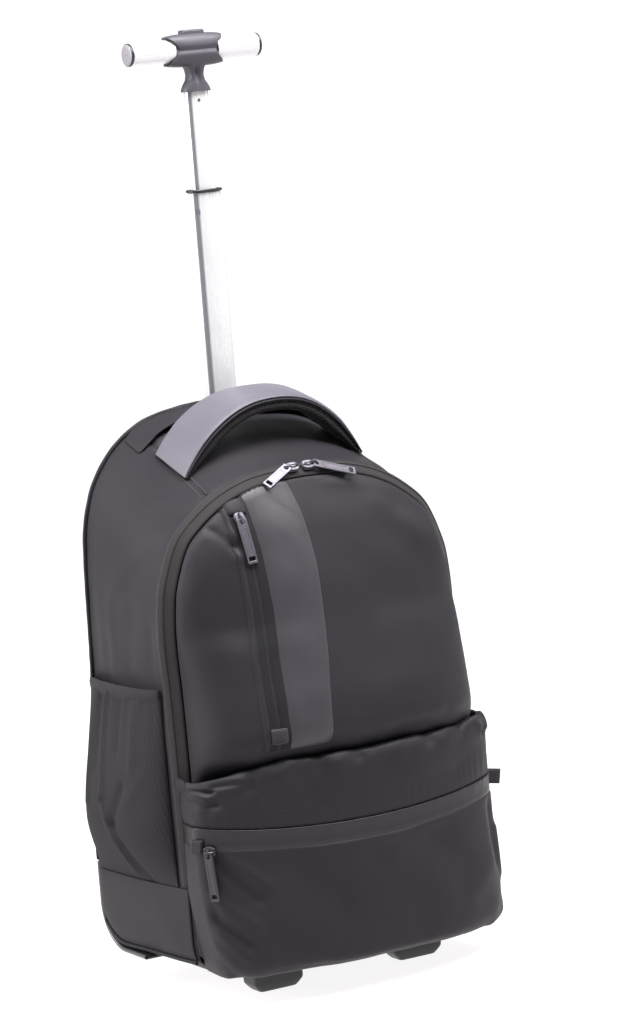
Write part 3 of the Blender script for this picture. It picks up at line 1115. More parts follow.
# The pocket's slider and its black pull hang at the left end of the zip, beside a loop of cloth.
# A short ribbed webbing end sticks out at the right. Both are sewn into the side seams.
black_plastic = brushed("black_plastic", (0.018, 0.016, 0.018), 0.38, 0.0, (300, 300, 300), 0.015)
pocket_zip_z = POCKET_ZIP - 6
side_normal = pocket_at(0.105, pocket_zip_z, 10) - pocket_at(0.105, pocket_zip_z, 0)
zip_slider("pocket_slider_cast", pocket_at(0.105, pocket_zip_z + 2, 2.8), pocket_at(0.09, pocket_zip_z, 0)
           - pocket_at(0.12, pocket_zip_z, 0), side_normal, 10, 9, "bag", "black_plastic", black_plastic,
           "pocket_slider")
zip_pull("pocket_pull_plate", pocket_at(0.103, pocket_zip_z + 1, 4.4), pocket_at(0.1, pocket_zip_z - 42, 2.4),
         side_normal, 9.5, 1.8, "bag", "black_plastic", black_plastic, "pocket_pull")


def looped_tab(name, centre, across, upwards, outwards, width, height, ribs, slot, material, *nodes):
    """A short end of tape, thick at its fold, laid across the end of a zip."""
    level = np.linspace(-0.5, 0.5, 16)[:, None]
    side = np.linspace(-0.5, 0.5, 24)[None, :]
    edge = np.clip((0.5 - np.abs(level)) * 9, 0, 1) ** 0.5 * np.clip((0.5 - np.abs(side)) * 9, 0, 1) ** 0.5
    lift = 1.5 * edge + 0.18 * np.cos(side * 2 * np.pi * ribs) * edge
    grid = (centre + side[..., None] * width * across + level[..., None] * height * upwards
            + lift[..., None] * outwards)
    back = grid - (2 * lift)[..., None] * outwards
    whole = np.concatenate([grid, back[::-1]], 0)
    return grid_piece(name, whole, material, "bag", slot, *nodes, away_from=None)


def unit(v):
    return np.asarray(v, float) / np.linalg.norm(v)


tab_left_at = pocket_at(0.041, pocket_zip_z + 5.5, 1.7)
tab_across = unit(pocket_at(0.06, pocket_zip_z, 0) - pocket_at(0.02, pocket_zip_z, 0))
tab_up = unit((0.1, -0.05, 1.0))
tab_out = unit(np.cross(tab_across, tab_up))
looped_tab("pocket_tab_left_cloth", tab_left_at, tab_across, tab_up, tab_out, 12, 13, 0, "bag_cloth",
           bag_cloth, "pocket_tab_left")
tab_start = pocket_at(1.0, POCKET_ZIP, 0.6)
tab_start[2] = POCKET_ZIP + 9
tab_across = unit((13, -3, -2))
tab_up = unit(np.cross(np.cross(tab_across, (0, 0, 1)), tab_across))
looped_tab("pocket_tab_right_web", tab_start + 6.5 * tab_across, tab_across, tab_up,
           unit(np.cross(tab_across, tab_up)), 13, 14, 7, "webbing", webbing, "pocket_tab_right")

# Side pockets of warp-knitted net: stretch cloth with rows of fine holes, gathered into an
# elastic band at the top and sewn into the zip's edge, the back piping and the base panel.
NET_TOP = 268.0
NET_BOTTOM = 101.0
NET_FRONT = 16.0
NET_BACK = BAG_DEPTH - 5.3
NET_BULGE = 22.0
BAND_HEIGHT = 11.0
NET_FOLDS = (
    # two ends (share of the depth, share of the height), width and height in mm
    ((0.62, 0.98), (0.60, 0.45), 0.030, 2.6), ((0.60, 0.45), (0.42, 0.05), 0.034, 2.8),
    ((0.44, 0.95), (0.44, 0.70), 0.035, -2.8), ((0.22, 0.95), (0.24, 0.62), 0.04, 2.2),
    ((0.35, 0.52), (0.50, 0.30), 0.04, -3.0), ((0.50, 0.30), (0.30, 0.02), 0.035, -2.4),
    ((0.80, 0.97), (0.84, 0.40), 0.035, 2.4), ((0.72, 0.95), (0.72, 0.60), 0.03, -2.2),
    ((0.93, 0.95), (0.92, 0.55), 0.022, -1.6), ((0.14, 0.60), (0.30, 0.42), 0.05, 1.4),
)
net_cloth = woven("net_cloth", (0.005, 0.004, 0.005), (0.036, 0.032, 0.037), 0.8, (440, 560), 0.4,
                  slant=1.0, thread_tint=0.85)
net_tree = net_cloth.node_tree
net_weave = next(n for n in net_tree.nodes if n.type == "GROUP")
holes = calculate(net_tree, "GREATER_THAN", net_weave.outputs["Thread"], 0.3)
net_tree.links.new(holes, net_tree.nodes["Principled BSDF"].inputs["Alpha"])
elastic_cloth = woven("elastic_cloth", (0.011, 0.0095, 0.011), (0.024, 0.021, 0.025), 0.7, (500, 1400),
                      0.2, sheen=0.05)


def side_places(sign, y, z, lift):
    """Places on a side of the bag at depths and heights, moved outwards."""
    places = np.zeros(np.broadcast(y, z).shape + (3,))
    for column in range(places.shape[1]):
        depth = float(y[0, column])
        ring = closed_outline(depth, 260)
        ring = ring[(ring[:, 0] > 0) & (ring[:, 2] < 420)]
        ring = ring[np.argsort(ring[:, 2])]
        places[:, column, 0] = np.interp(np.broadcast_to(z, places.shape[:2])[:, column],
                                         ring[:, 2], ring[:, 0])
        places[:, column, 1] = depth
    places[..., 0] = sign * (places[..., 0] + lift)
    places[..., 2] = z
    return places


def net_grid(sign, rows, columns, low, high, at_top=False):
    """One side pocket between two heights, standing off the side of the bag."""
    along = np.linspace(0, 1, columns)[None, :]
    share = np.linspace(0, 1, rows)[:, None]
    up = np.ones((rows, 1)) if at_top else share
    plan = np.clip(1 - np.abs(2 * along ** 1.25 - 1) ** 4, 0, 1) ** 0.5
    height = np.where(up < 0.35, np.sin(np.clip(up / 0.35, 0, 1) * np.pi / 2),
                      1 - 0.58 * np.clip((up - 0.35) / 0.65, 0, 1) ** 1.4)
    gather = (0.5 * np.sin(24 * np.pi * along + np.sin(9 * along)) * np.clip(up * 3 - 2, 0, 1)
              * (0 if at_top else 1))
    stand = 1.4 + plan * (NET_BULGE * height + gather)
    if not at_top:
        for (a0, u0), (a1, u1), width, push in NET_FOLDS:
            line = np.array((a1 - a0, u1 - u0))
            t = np.clip(((along - a0) * line[0] + (up - u0) * line[1]) / (line @ line), 0, 1)
            distance = np.hypot(along - a0 - t * line[0], (up - u0 - t * line[1]) * 1.3)
            stand = stand + plan * push * np.exp(-(distance / width) ** 2)
    return side_places(sign, mix(NET_FRONT, NET_BACK, along), mix(low, high, share), stand)


for side, sign in (("left", -1), ("right", 1)):
    sheet = net_grid(sign, 80, 110, NET_BOTTOM, NET_TOP + 3)
    net = grid_piece(f"mesh_pocket_{side}_net", sheet, net_cloth, "bag", "net",
                     f"mesh_pocket_{side}", wall=0.5)
    band = net_grid(sign, 13, 90, NET_TOP - 0.5, NET_TOP + BAND_HEIGHT, at_top=True)
    roll = 1.3 * np.sin(np.pi
                        * np.linspace(0.04, 0.96, 13))[:, None] + 0.15 * np.sin(np.arange(13) * 2.1)[:, None]
    band[..., 0] += sign * roll
    grid_piece(f"mesh_band_{side}_elastic", band, elastic_cloth, "bag", "net", f"mesh_band_{side}", wall=1.0)
    sew(f"mesh_stitches_{side}", [lifted(band, row=2, height=0.05)], slot="net", pitch=2.8, length=2.1,
        thickness=0.35)

# Base of the sides: plain cloth panels below the nets, with a piped lower edge. They bulge a
# little and lap over the nets and the ends of the zip.
PIPING_RADIUS = 2.2
for side, sign in (("left", -1), ("right", 1)):
    depth = np.linspace(1.5, NET_BACK, 60)[None, :]
    low = underside(depth) + 4.5
    share = np.linspace(0, 1, 34)[:, None]
    puff = (2.2 * np.sin(np.pi * np.clip(share * 1.02, 0, 1)) ** 0.5
            * np.sin(np.pi * np.clip(depth / 150, 0, 1)) ** 0.4)
    panel = side_places(sign, depth, mix(low, ZIP_END + 1.5, share), 1.5 + puff)
    panel[..., 0] += sign * 0.4 * ripple(panel, 60, 3.0)
    grid_piece(f"side_base_{side}_cloth", panel, bag_cloth, "bag", "bag_cloth", f"side_base_{side}", wall=1.0)
    cord = panel[0] + np.array((sign * 0.8, 0, -1.2))
    cord_mesh = bent_rod(f"base_piping_{side}", cord + (0, ZIP_PLANE, 0), 1.9)
    cord_mesh.shade_smooth()
    show(f"base_piping_{side}", cord_mesh, bag_cloth, "bag", "bag_cloth")
    sew(f"base_stitches_{side}", [lifted(panel, row=31, height=0.05), lifted(panel, row=2, height=0.05)],
        pitch=3.0, length=2.2, thickness=0.4)


# Back piping: a cord wrapped in the bag's cloth, sewn round the back edge between the gusset and
# the back panel, down to the rear guard on both sides.
GUARD_TOP = 105.0


def tube_grid(path, radius, around=12):
    """A grid of points round a path in mm."""
    path = np.asarray(path, float)
    run = np.gradient(path, axis=0)
    run /= np.linalg.norm(run, axis=1)[:, None]
    side = np.cross(run, np.array((0.11, 0.97, 0.21)))
    side /= np.linalg.norm(side, axis=1)[:, None]
    other = np.cross(run, side)
    angle = np.linspace(0, 2 * np.pi, around, endpoint=False)[None, :, None]
    radius = np.broadcast_to(radius, len(path))[:, None, None]
    return path[:, None] + radius * (side[:, None] * np.cos(angle) + other[:, None] * np.sin(angle))


back_edge = grow(closed_outline(BAG_DEPTH - PIPING_RADIUS, 260), PIPING_RADIUS - 0.9)
above = np.nonzero(back_edge[:, 2] > GUARD_TOP + 3)[0]
first = np.nonzero(np.diff(above) > 1)[0]
order = np.r_[above[first[0] + 1:], above[:first[0] + 1]] if len(first) else above
piping_path = back_edge[order]
piping_grid = tube_grid(piping_path, 1.8 + 0.08 * np.sin(np.arange(len(order)) * 0.9), 14)
grid_piece("back_piping_cord", piping_grid, bag_cloth, "bag", "bag_cloth", "back_piping", around=True)

# Mast flap: a raised lip of cloth along the top of the back, with a hole for the mast. Its front
# edge is folded under and stands clear of the gusset, so that a dark slit shows in front of it.
MAST_Y = 133.0
FLAP_HALF_LENGTH = 98.0
FLAP_DEPTH = 32.0
SOCKET_WIDE = 42.2
SOCKET_DEEP = 27.74
top_by_depth = [closed_outline(y, 320) for y in np.linspace(0, BAG_DEPTH, 31)]
top_by_depth = [ring[ring[:, 2] > 300][np.argsort(ring[ring[:, 2] > 300][:, 0])] for ring in top_by_depth]


def gusset_top(x, y):
    """Height of the top of the bag at a place."""
    x, y = np.broadcast_arrays(np.asarray(x, float), y)
    heights = np.array([np.interp(x.ravel(), ring[:, 0], ring[:, 2]) for ring in top_by_depth])
    place = np.clip(y.ravel() / BAG_DEPTH * 30, 0, 29.999)
    low = place.astype(int)
    column = np.arange(x.size)
    return mix(heights[low, column], heights[low + 1, column], place - low).reshape(x.shape)


def oval(angle, wide, deep, square=0.8):
    """A flattened ring of points, as wide and as deep as given in mm."""
    c, s = np.cos(angle), np.sin(angle)
    return np.stack([np.sign(c) * np.abs(c) ** square * wide / 2, np.sign(s) * np.abs(s) ** square
                     * deep / 2], -1)


angle = np.linspace(0, 2 * np.pi, 220, endpoint=False)[None, :]
radial = (np.linspace(0, 1, 34) ** 0.8)[:, None]
flap_back = BAG_DEPTH - 2 * PIPING_RADIUS + 0.6
flap_front = flap_back - FLAP_DEPTH
hole = oval(angle, SOCKET_WIDE + 1.4, SOCKET_DEEP + 1.4) + (0, MAST_Y)
border = oval(angle, 2 * FLAP_HALF_LENGTH, FLAP_DEPTH, 0.16) + (0, (flap_back + flap_front) / 2)
flap_xy = mix(hole, border, radial[..., None])
forward = np.clip((flap_back - flap_xy[..., 1]) / FLAP_DEPTH, 0, 1)
along = np.clip(1 - np.abs(flap_xy[..., 0]) / FLAP_HALF_LENGTH, 0, 1)
flap_lift = 5.6 * forward * np.sin(np.pi / 2 * np.minimum(1, along * 2.2)) ** 0.7
flap_z = gusset_top(flap_xy[..., 0], flap_xy[..., 1]) + 2.4 + flap_lift
flap_z -= 1.6 * np.clip((radial - 0.95) / 0.05, 0, 1) + 0.8 * np.clip((0.06 - radial) / 0.06, 0, 1)
flap_grid = np.concatenate([flap_xy, flap_z[..., None]], 2)
flap_grid[..., 2] += 0.5 * ripple(flap_grid, 46, 2.0) + folds(flap_grid, (
    ((-80, 116, 492), (-40, 120, 506), 4, 1.0), ((-92, 130, 492), (-50, 138, 506), 5, -1.0),
    ((40, 120, 506), (84, 118, 494), 5, 0.9)))
flap_mesh = cloth_mesh("mast_flap_cloth", flap_grid, around=True, away_from=np.array((0.0, 130.0, 400.0)))
flat_uv = np.array([flap_mesh.vertices[loop.vertex_index].co[:2] for loop in flap_mesh.loops])
flap_mesh.uv_layers["cloth"].data.foreach_set("uv", flat_uv.ravel())
show("mast_flap_cloth", flap_mesh, bag_cloth, "bag", "bag_cloth", "mast_flap", wall=1.4)
sew("flap_stitches", [np.vstack([flap_grid[30], flap_grid[30, :1]]) + (0, 0, 0.05)], pitch=3.0, length=2.2,
    thickness=0.4)

# Carry handle: a long padded arch. Smooth coated cloth over foam on top, air mesh over a firmer
# core below, closed by a welt along both edges and sewn into the two cross seams at its ends.
HANDLE_FRONT = 44.4
HANDLE_WIDTH = 52.0
HANDLE_RISE = 57.0
HANDLE_LEAN = 6.0
HANDLE_LEVEL = 0.42


def handle_grid(width, top, bottom, square, count=110, around=44, pillow=0.0):
    """Slices of the handle from its left end to its right end."""
    even = np.linspace(0, 1, count)
    share = (-np.cos(np.pi * even) * 0.4 + (even * 2 - 1) * 0.6)[:, None]
    turn = np.linspace(0, 2 * np.pi, around, endpoint=False)[None, :]
    c, s = np.cos(turn), np.sin(turn)
    flat = lambda value, power: np.sign(value) * np.abs(value) ** power
    thin = 0.3 + 0.7 * np.clip((1 - np.abs(share)) * 4, 0, 1) ** 0.7
    wide = width * (1 - 0.05 * pillow * (1 - np.abs(share)) ** 2)
    y = HANDLE_FRONT + HANDLE_WIDTH / 2 + flat(c, square) * wide / 2
    depth = mix(bottom, top, (flat(s, 0.8) + 1) / 2) * thin
    slope = HANDLE_RISE * 2.3 * np.abs(share) ** 1.3 * np.sign(share) / HANDLE_HALF_SPAN
    long = np.hypot(slope, 1)
    tilt = mix(HANDLE_LEVEL, 1, np.abs(share) ** 1.5)
    seam = gusset_top(np.full_like(y, HANDLE_HALF_SPAN), y)
    foot = mix(gusset_top(HANDLE_HALF_SPAN, HANDLE_FRONT), seam, tilt) + 2.6
    z = foot + HANDLE_RISE * (1 - np.abs(share) ** 2.3) + depth / long
    x = share * HANDLE_HALF_SPAN + HANDLE_LEAN * (1 - share ** 2) + depth * slope / long
    return np.stack([x, y, z + 0 * x], 2)


handle_top = handle_grid(HANDLE_WIDTH, 6.4, 1.2, 0.62)
crown = np.clip(np.sin(np.linspace(0, 2 * np.pi, 44, endpoint=False)), 0, 1)[None, :]
handle_push = 0.35 * ripple(handle_top, 40, 2.0) + 0.2 * ripple(handle_top, 17, 5.0)
handle_push = handle_push + folds(handle_top, (
    ((-88, 50, 470), (-80, 92, 478), 4, -0.8), ((-70, 46, 498), (-62, 92, 506), 7, -0.5),
    ((84, 48, 482), (86, 92, 488), 4, -0.8), ((60, 46, 520), (56, 92, 528), 8, -0.5)))
handle_top[..., 2] += handle_push * crown
handle_cloth = woven("handle_cloth", (0.078, 0.070, 0.090), (0.114, 0.104, 0.130), 0.5, (1700, 1700), 0.05,
                     sheen=0.08, coat=0.15, shine=0.35)
carry_top = grid_piece("carry_handle_top_cloth", handle_top, handle_cloth, "bag", "band_cloth",
                       "carry_handle_top", around=True, away_from=np.array((0.0, 70.0, 495.0)))
handle_grip = handle_grid(HANDLE_WIDTH + 1, 1.6, -10.2, 0.5, count=260, around=90)
knit_share = np.linspace(0, 1, 260)[:, None] * 250 / 3.1
knit_turn = np.linspace(0, 1, 90)[None, :] * 120 / 3.6
knit = np.sin(2 * np.pi * knit_share) * np.sin(2 * np.pi * (knit_turn + 0.5 * (np.floor(knit_share) % 2)))
grip_normal = normals_of(handle_grip, around=True, away_from=None)
if np.sum(grip_normal[130, :, 2] * (handle_grip[130, :, 2] - handle_grip[130, :, 2].mean())) < 0:
    grip_normal = -grip_normal
handle_grip += grip_normal * (0.35 * knit)[..., None]
mesh_knit = woven("air_mesh", (0.004, 0.0035, 0.004), (0.019, 0.0165, 0.019), 0.8, (330, 280),
                  0.6, sheen=0.03,
                  slant=0.5, thread_tint=0.9)
carry_grip = grid_piece("carry_handle_grip_mesh", handle_grip, mesh_knit, "bag", "padding",
                        "carry_handle_grip", around=True, away_from=None)
front_welt = handle_grid(HANDLE_WIDTH + 1.4, 2.0, 1.0, 0.3, count=160)[:, 22]
back_welt = handle_grid(HANDLE_WIDTH + 1.4, 2.0, 1.0, 0.3, count=160)[:, 0]
for name, line in (("front", front_welt), ("back", back_welt)):
    welt = tube_grid(line, 1.1, 10)
    grid_piece(f"handle_welt_{name}", welt, bag_cloth, "bag", "band_cloth", around=True, away_from=None)

# Bar tacks: short dense rows of zigzag thread that hold the handle's ends in the cross seams.
tack_lines = []
for sign in (-1, 1):
    for offset in (1.5, 3.0):
        y = np.linspace(HANDLE_FRONT + 3, HANDLE_FRONT + HANDLE_WIDTH - 3, 60)
        x = np.full(60, sign * (HANDLE_HALF_SPAN + offset)) + 0.5 * np.sin(np.arange(60) * 2.6)
        tack_lines.append(np.stack([x, y, gusset_top(x, y) + 1.3], 1))
sew("handle_tacks", tack_lines, pitch=1.6, length=1.5, thickness=0.5)
seam_lines = []
for sign in (-1, 1):
    for offset in (-2.6, 2.6):
        y = np.linspace(12, 108, 90)
        x = sign * (HANDLE_HALF_SPAN - 3 + 4 * np.clip((60 - y) / 60, -1, 1)) + offset
        seam_lines.append(np.stack([x, y, gusset_top(x, y) + 1.1], 1))
for side, line in zip(("left", "right"), seam_lines):
    seam_cord = tube_grid(line - (0, 0, 0.9), 1.0, 8)
    grid_piece(f"cross_seam_{side}", seam_cord, webbing, "bag", "bag_cloth", around=True, away_from=None)
sew("cross_stitches", seam_lines, pitch=3.0, length=2.2, thickness=0.45)


# Mast: three telescoping oval tubes of satin aluminium. The fixed one ends in a black socket in
# the bag's top, and a thin black collar closes the end of the middle one. A small stamped patch
# marks the middle tube, and a countersunk rivet holds the inner one in the T handle.
aluminium = brushed("aluminium", (0.74, 0.735, 0.75), 0.26, 0.3, (1500, 1500, 12), 0.004)
alu_tree = aluminium.node_tree
alu_shader = alu_tree.nodes["Principled BSDF"]
alu_tint = alu_shader.inputs["Base Color"].links[0].from_socket
facing = alu_tree.nodes.new("ShaderNodeNewGeometry")
turn = alu_tree.nodes.new("ShaderNodeVectorMath")
turn.operation = "DOT_PRODUCT"
turn.inputs[1].default_value = (-0.72, -0.694, 0)
alu_tree.links.new(facing.outputs["Normal"], turn.inputs[0])
edge_share = calculate(alu_tree, "MULTIPLY", calculate(alu_tree, "SUBTRACT", turn.outputs["Value"], 0.93), 20)
edge_share = calculate(alu_tree, "MINIMUM", calculate(alu_tree, "MAXIMUM", edge_share, 0), 1)
edge_tone = alu_tree.nodes.new("ShaderNodeMix")
edge_tone.data_type = "RGBA"
edge_tone.inputs["B"].default_value = (0.20, 0.195, 0.215, 1)
alu_tree.links.new(alu_tint, edge_tone.inputs["A"])
alu_tree.links.new(edge_share, edge_tone.inputs["Factor"])
alu_tree.links.new(edge_tone.outputs["Result"], alu_shader.inputs["Base Color"])


def oval_tube(name, wide, deep, low, high, wall, chamfer, body, slot, material, *nodes):
    """An upright oval tube with chamfered rims, open at both ends."""
    turn = np.linspace(0, 2 * np.pi, 128, endpoint=False)
    profile = ((0, low + chamfer), (0, high - chamfer), (-chamfer, high), (chamfer - wall, high),
               (-wall, high - chamfer), (-wall, low + chamfer), (chamfer - wall, low), (-chamfer, low),
               (0, low + chamfer))
    rows = []
    for grown, z in profile:
        ring = oval(turn, wide + 2 * grown, deep + 2 * grown) + (0, MAST_Y)
        rows.append(np.column_stack([ring, np.full(128, z)]))
    grid = np.array(rows)
    mesh = cloth_mesh(name, grid, around=True, away_from=None)
    mesh.set_sharp_from_angle(angle=math.radians(35))
    return show(name, mesh, material, body, slot, *nodes)


oval_tube("mast_outer_tube", 35, 25.4, 58, 506.5, 1.2, 0.3, "bag", "aluminium", aluminium, "mast_outer")
oval_tube("mast_middle_tube", 30.4, 20.8, 406.4, 702.1, 1.2, 0.3, "mast_middle", "aluminium", aluminium,
          "mast_middle")
oval_tube("mast_inner_tube", 23, 15.6, 560.3, 798.3, 1.2, 0.3, "mast_inner", "aluminium",
          aluminium, "mast_inner")
oval_tube("mast_collar_ring", 33.6, 24.0, 702.4, 705.0, 5.0, 0.6, "mast_middle", "black_plastic",
          black_plastic,
          "mast_collar")
oval_tube("mast_socket_ring", 42.2, 27.74, 494.8, 509.8, 3.2, 0.8, "bag", "black_plastic", black_plastic,
          "mast_socket")
mark_paint = brushed("mark_paint", (0.10, 0.09, 0.13), 0.6, 0.0, (300, 300, 300), 0.0)


def on_tube(name, x, z, wide, high, body, material, slot, tube=(30.4, 20.8)):
    """A thin patch on the front of a tube, which follows its curve."""
    across = np.linspace(-0.5, 0.5, 9)[None, :] * wide + x
    level = np.linspace(-0.5, 0.5, 5)[:, None] * high + z
    share = np.clip(np.abs(across) * 2 / (tube[0] + 0.1), 0, 1) ** (1 / 0.8)
    y = MAST_Y - (tube[1] / 2 + 0.06) * np.sqrt(1 - share ** 2) ** 0.8
    patch = np.stack(np.broadcast_arrays(across, y, level), 2)
    return grid_piece(name, patch, material, body, slot, away_from=np.array((0.0, MAST_Y, z)))


on_tube("tube_mark_a", -13.2, 685, 1.6, 4.4, "mast_middle", mark_paint, "black_plastic")
on_tube("tube_mark_b", -11.0, 685, 1.3, 4.4, "mast_middle", mark_paint, "black_plastic")
screw = flat_shape("inner_rivet",
                   [[(1.5 * math.cos(a), 1.5 * math.sin(a)) for a in np.linspace(0, 6.28, 24)[:-1]]],
                   0.9, 0.3)
screw.transform(in_place((-1.6, MAST_Y - 7.6, 785.5), (1, 0, 0), (0, -1, 0)))
show("inner_rivet", screw, gunmetal, "mast_inner", "steel")

# T handle: a hub of matt grey plastic whose two ends are scooped round the grip tubes, with a
# crease along its front and back and a waisted neck. A button stands in a slot in its top.
GRIP_Z = 830.8
HUB_HEIGHT = 30.0
HUB_DEPTH = 27.0
GRIP_RADIUS = 10.4
hub_plastic = brushed("hub_plastic", (0.050, 0.044, 0.058), 0.5, 0.0, (500, 500, 500), 0.02)


def closed_at_ends(name, rings):
    """A solid through rings of points, closed flat at both ends."""
    rings = np.array(rings)
    rows, columns = rings.shape[:2]
    faces = [(r * columns + c, r * columns + (c + 1) % columns, (r + 1) * columns + (c + 1) % columns,
              (r + 1) * columns + c) for r in range(rows - 1) for c in range(columns)]
    faces += [tuple(range(columns)), tuple(reversed(range((rows - 1) * columns, rows * columns)))]
    mesh = bpy.data.meshes.new(name)
    mesh.from_pydata(((rings.reshape(-1, 3) + (0, ZIP_PLANE, 0)) * MM).tolist(), [], faces)
    if sum(p.normal.dot(p.center) * p.area for p in mesh.polygons) < 0:
        mesh.flip_normals()
    return mesh


def hub_end(height):
    """How far the scooped end of the hub lies from its middle, at a height over the grip."""
    return 18.5 + 12.5 * np.clip(np.abs(height) / (HUB_HEIGHT / 2), 0, 1) ** 1.7


turn = np.linspace(0, 2 * np.pi, 88, endpoint=False)
barrel_rings = []
for share in np.linspace(-1, 1, 61):
    c, s = np.cos(turn), np.sin(turn)
    flat = lambda value, power: np.sign(value) * np.abs(value) ** power
    taper = 1 - 0.13 * np.abs(share) ** 3
    height = flat(s, 0.85) * HUB_HEIGHT / 2 * taper
    depth = flat(c, 0.62) * HUB_DEPTH / 2 * (1 - 0.09 * np.abs(share) ** 3)
    crease = 1.5 * np.exp(-(height / 2.2) ** 2)
    depth = depth - np.sign(depth) * np.minimum(crease, np.abs(depth))
    x = share * hub_end(height)
    barrel_rings.append(np.stack([x, MAST_Y + depth, GRIP_Z + height], 1))
hub_mesh = closed_at_ends("grip_hub_barrel", barrel_rings)
STEM = np.array((
    # up from the neck's foot in mm, width and depth in mm
    (0.0, 27.4, 19.8), (2.0, 26.6, 19.4), (6.0, 22.8, 18.6), (11.0, 16.2, 18.0), (15.0, 14.6, 18.0),
    (20.0, 16.4, 18.9), (25.0, 22.5, 21.4), (30.0, 36.0, 23.0), (33.5, 45.0, 21.6),
))
stem_wide, stem_deep = (curve_through(STEM[:, 0], STEM[:, i]) for i in (1, 2))
HUB_FOOT = GRIP_Z - 37.5
stem_rings = []
for up in np.linspace(0, 33.5, 61):
    ring = oval(turn, float(stem_wide(up)), float(stem_deep(up)), 0.72)
    hollow = 3.2 * np.exp(-((ring[:, 0] + 1.5) / 2.2) ** 2) * math.exp(-((up - 17) / 7.5) ** 2)
    ring[:, 1] -= np.sign(ring[:, 1]) * hollow
    stem_rings.append(np.column_stack([ring[:, 0], MAST_Y + ring[:, 1], np.full(88, HUB_FOOT + up)]))
stem_mesh = closed_at_ends("grip_hub_stem", stem_rings)


def carved(name, base, union, cuts):
    """A solid with others joined to it or cut out of it exactly."""
    piece = bpy.data.objects.new(name, base)
    bpy.context.scene.collection.objects.link(piece)
    helpers = []
    for operation, meshes in (("UNION", union), ("DIFFERENCE", cuts)):
        for k, mesh in enumerate(meshes):
            helper = bpy.data.objects.new(f"{name}_{operation}_{k}", mesh)
            bpy.context.scene.collection.objects.link(helper)
            helpers.append(helper)
            modifier = piece.modifiers.new(f"cut_{k}", "BOOLEAN")
            modifier.operation = operation
            modifier.solver = "EXACT"
            modifier.object = helper
    evaluated = piece.evaluated_get(bpy.context.evaluated_depsgraph_get())
    mesh = bpy.data.meshes.new_from_object(evaluated)
    for helper in [piece, *helpers]:
        bpy.data.objects.remove(helper)
    mesh.materials.clear()
    mesh.shade_smooth()
    mesh.set_sharp_from_angle(angle=math.radians(32))
    return mesh


def bar_across(name, radius, start, end, around=72):
    """A round bar along the grip."""
    rings = [tube_grid(np.array([(x, MAST_Y, GRIP_Z) for x in (start, end)]), radius, around)]
    return closed_at_ends(name, rings[0])


def upright(name, wide, deep, low, high, square=0.8, centre_x=0.0):
    """An upright bar with an oval or squarish plan."""
    ring = oval(turn, wide, deep, square) + (centre_x, MAST_Y)
    return closed_at_ends(name, [np.column_stack([ring, np.full(88, z)]) for z in (low, high)])


hub = carved("grip_hub_cast", hub_mesh, [stem_mesh], [
    upright("cut_tube", 23.6, 16.2, HUB_FOOT - 5, HUB_FOOT + 5.3),
    bar_across("cut_left", GRIP_RADIUS + 0.3, -60, -21.7),
    bar_across("cut_right", GRIP_RADIUS + 0.3, 21.7, 60),
    upright("cut_button", 22.8, 11.8, 838.6, 870, 0.2),
])
show("grip_hub_cast", hub, hub_plastic, "mast_inner", "black_plastic", "grip_hub")
button_rings = [np.column_stack([oval(turn, 22 - 2 * inset, 11 - 2 * inset, 0.2) + (0, MAST_Y),
                                 np.full(88, z)])
                for z, inset in ((842.0, 0), (847.6, 0), (848.3, 0.25), (848.8, 0.8), (849.0, 1.6),
                                 (848.4, 3.2))]
button_mesh = closed_at_ends("release_button_cap", button_rings)
button_mesh.shade_smooth()
button_mesh.set_sharp_from_angle(angle=math.radians(50))
show("release_button_cap", button_mesh, hub_plastic, "release_button", "black_plastic", "release_button")

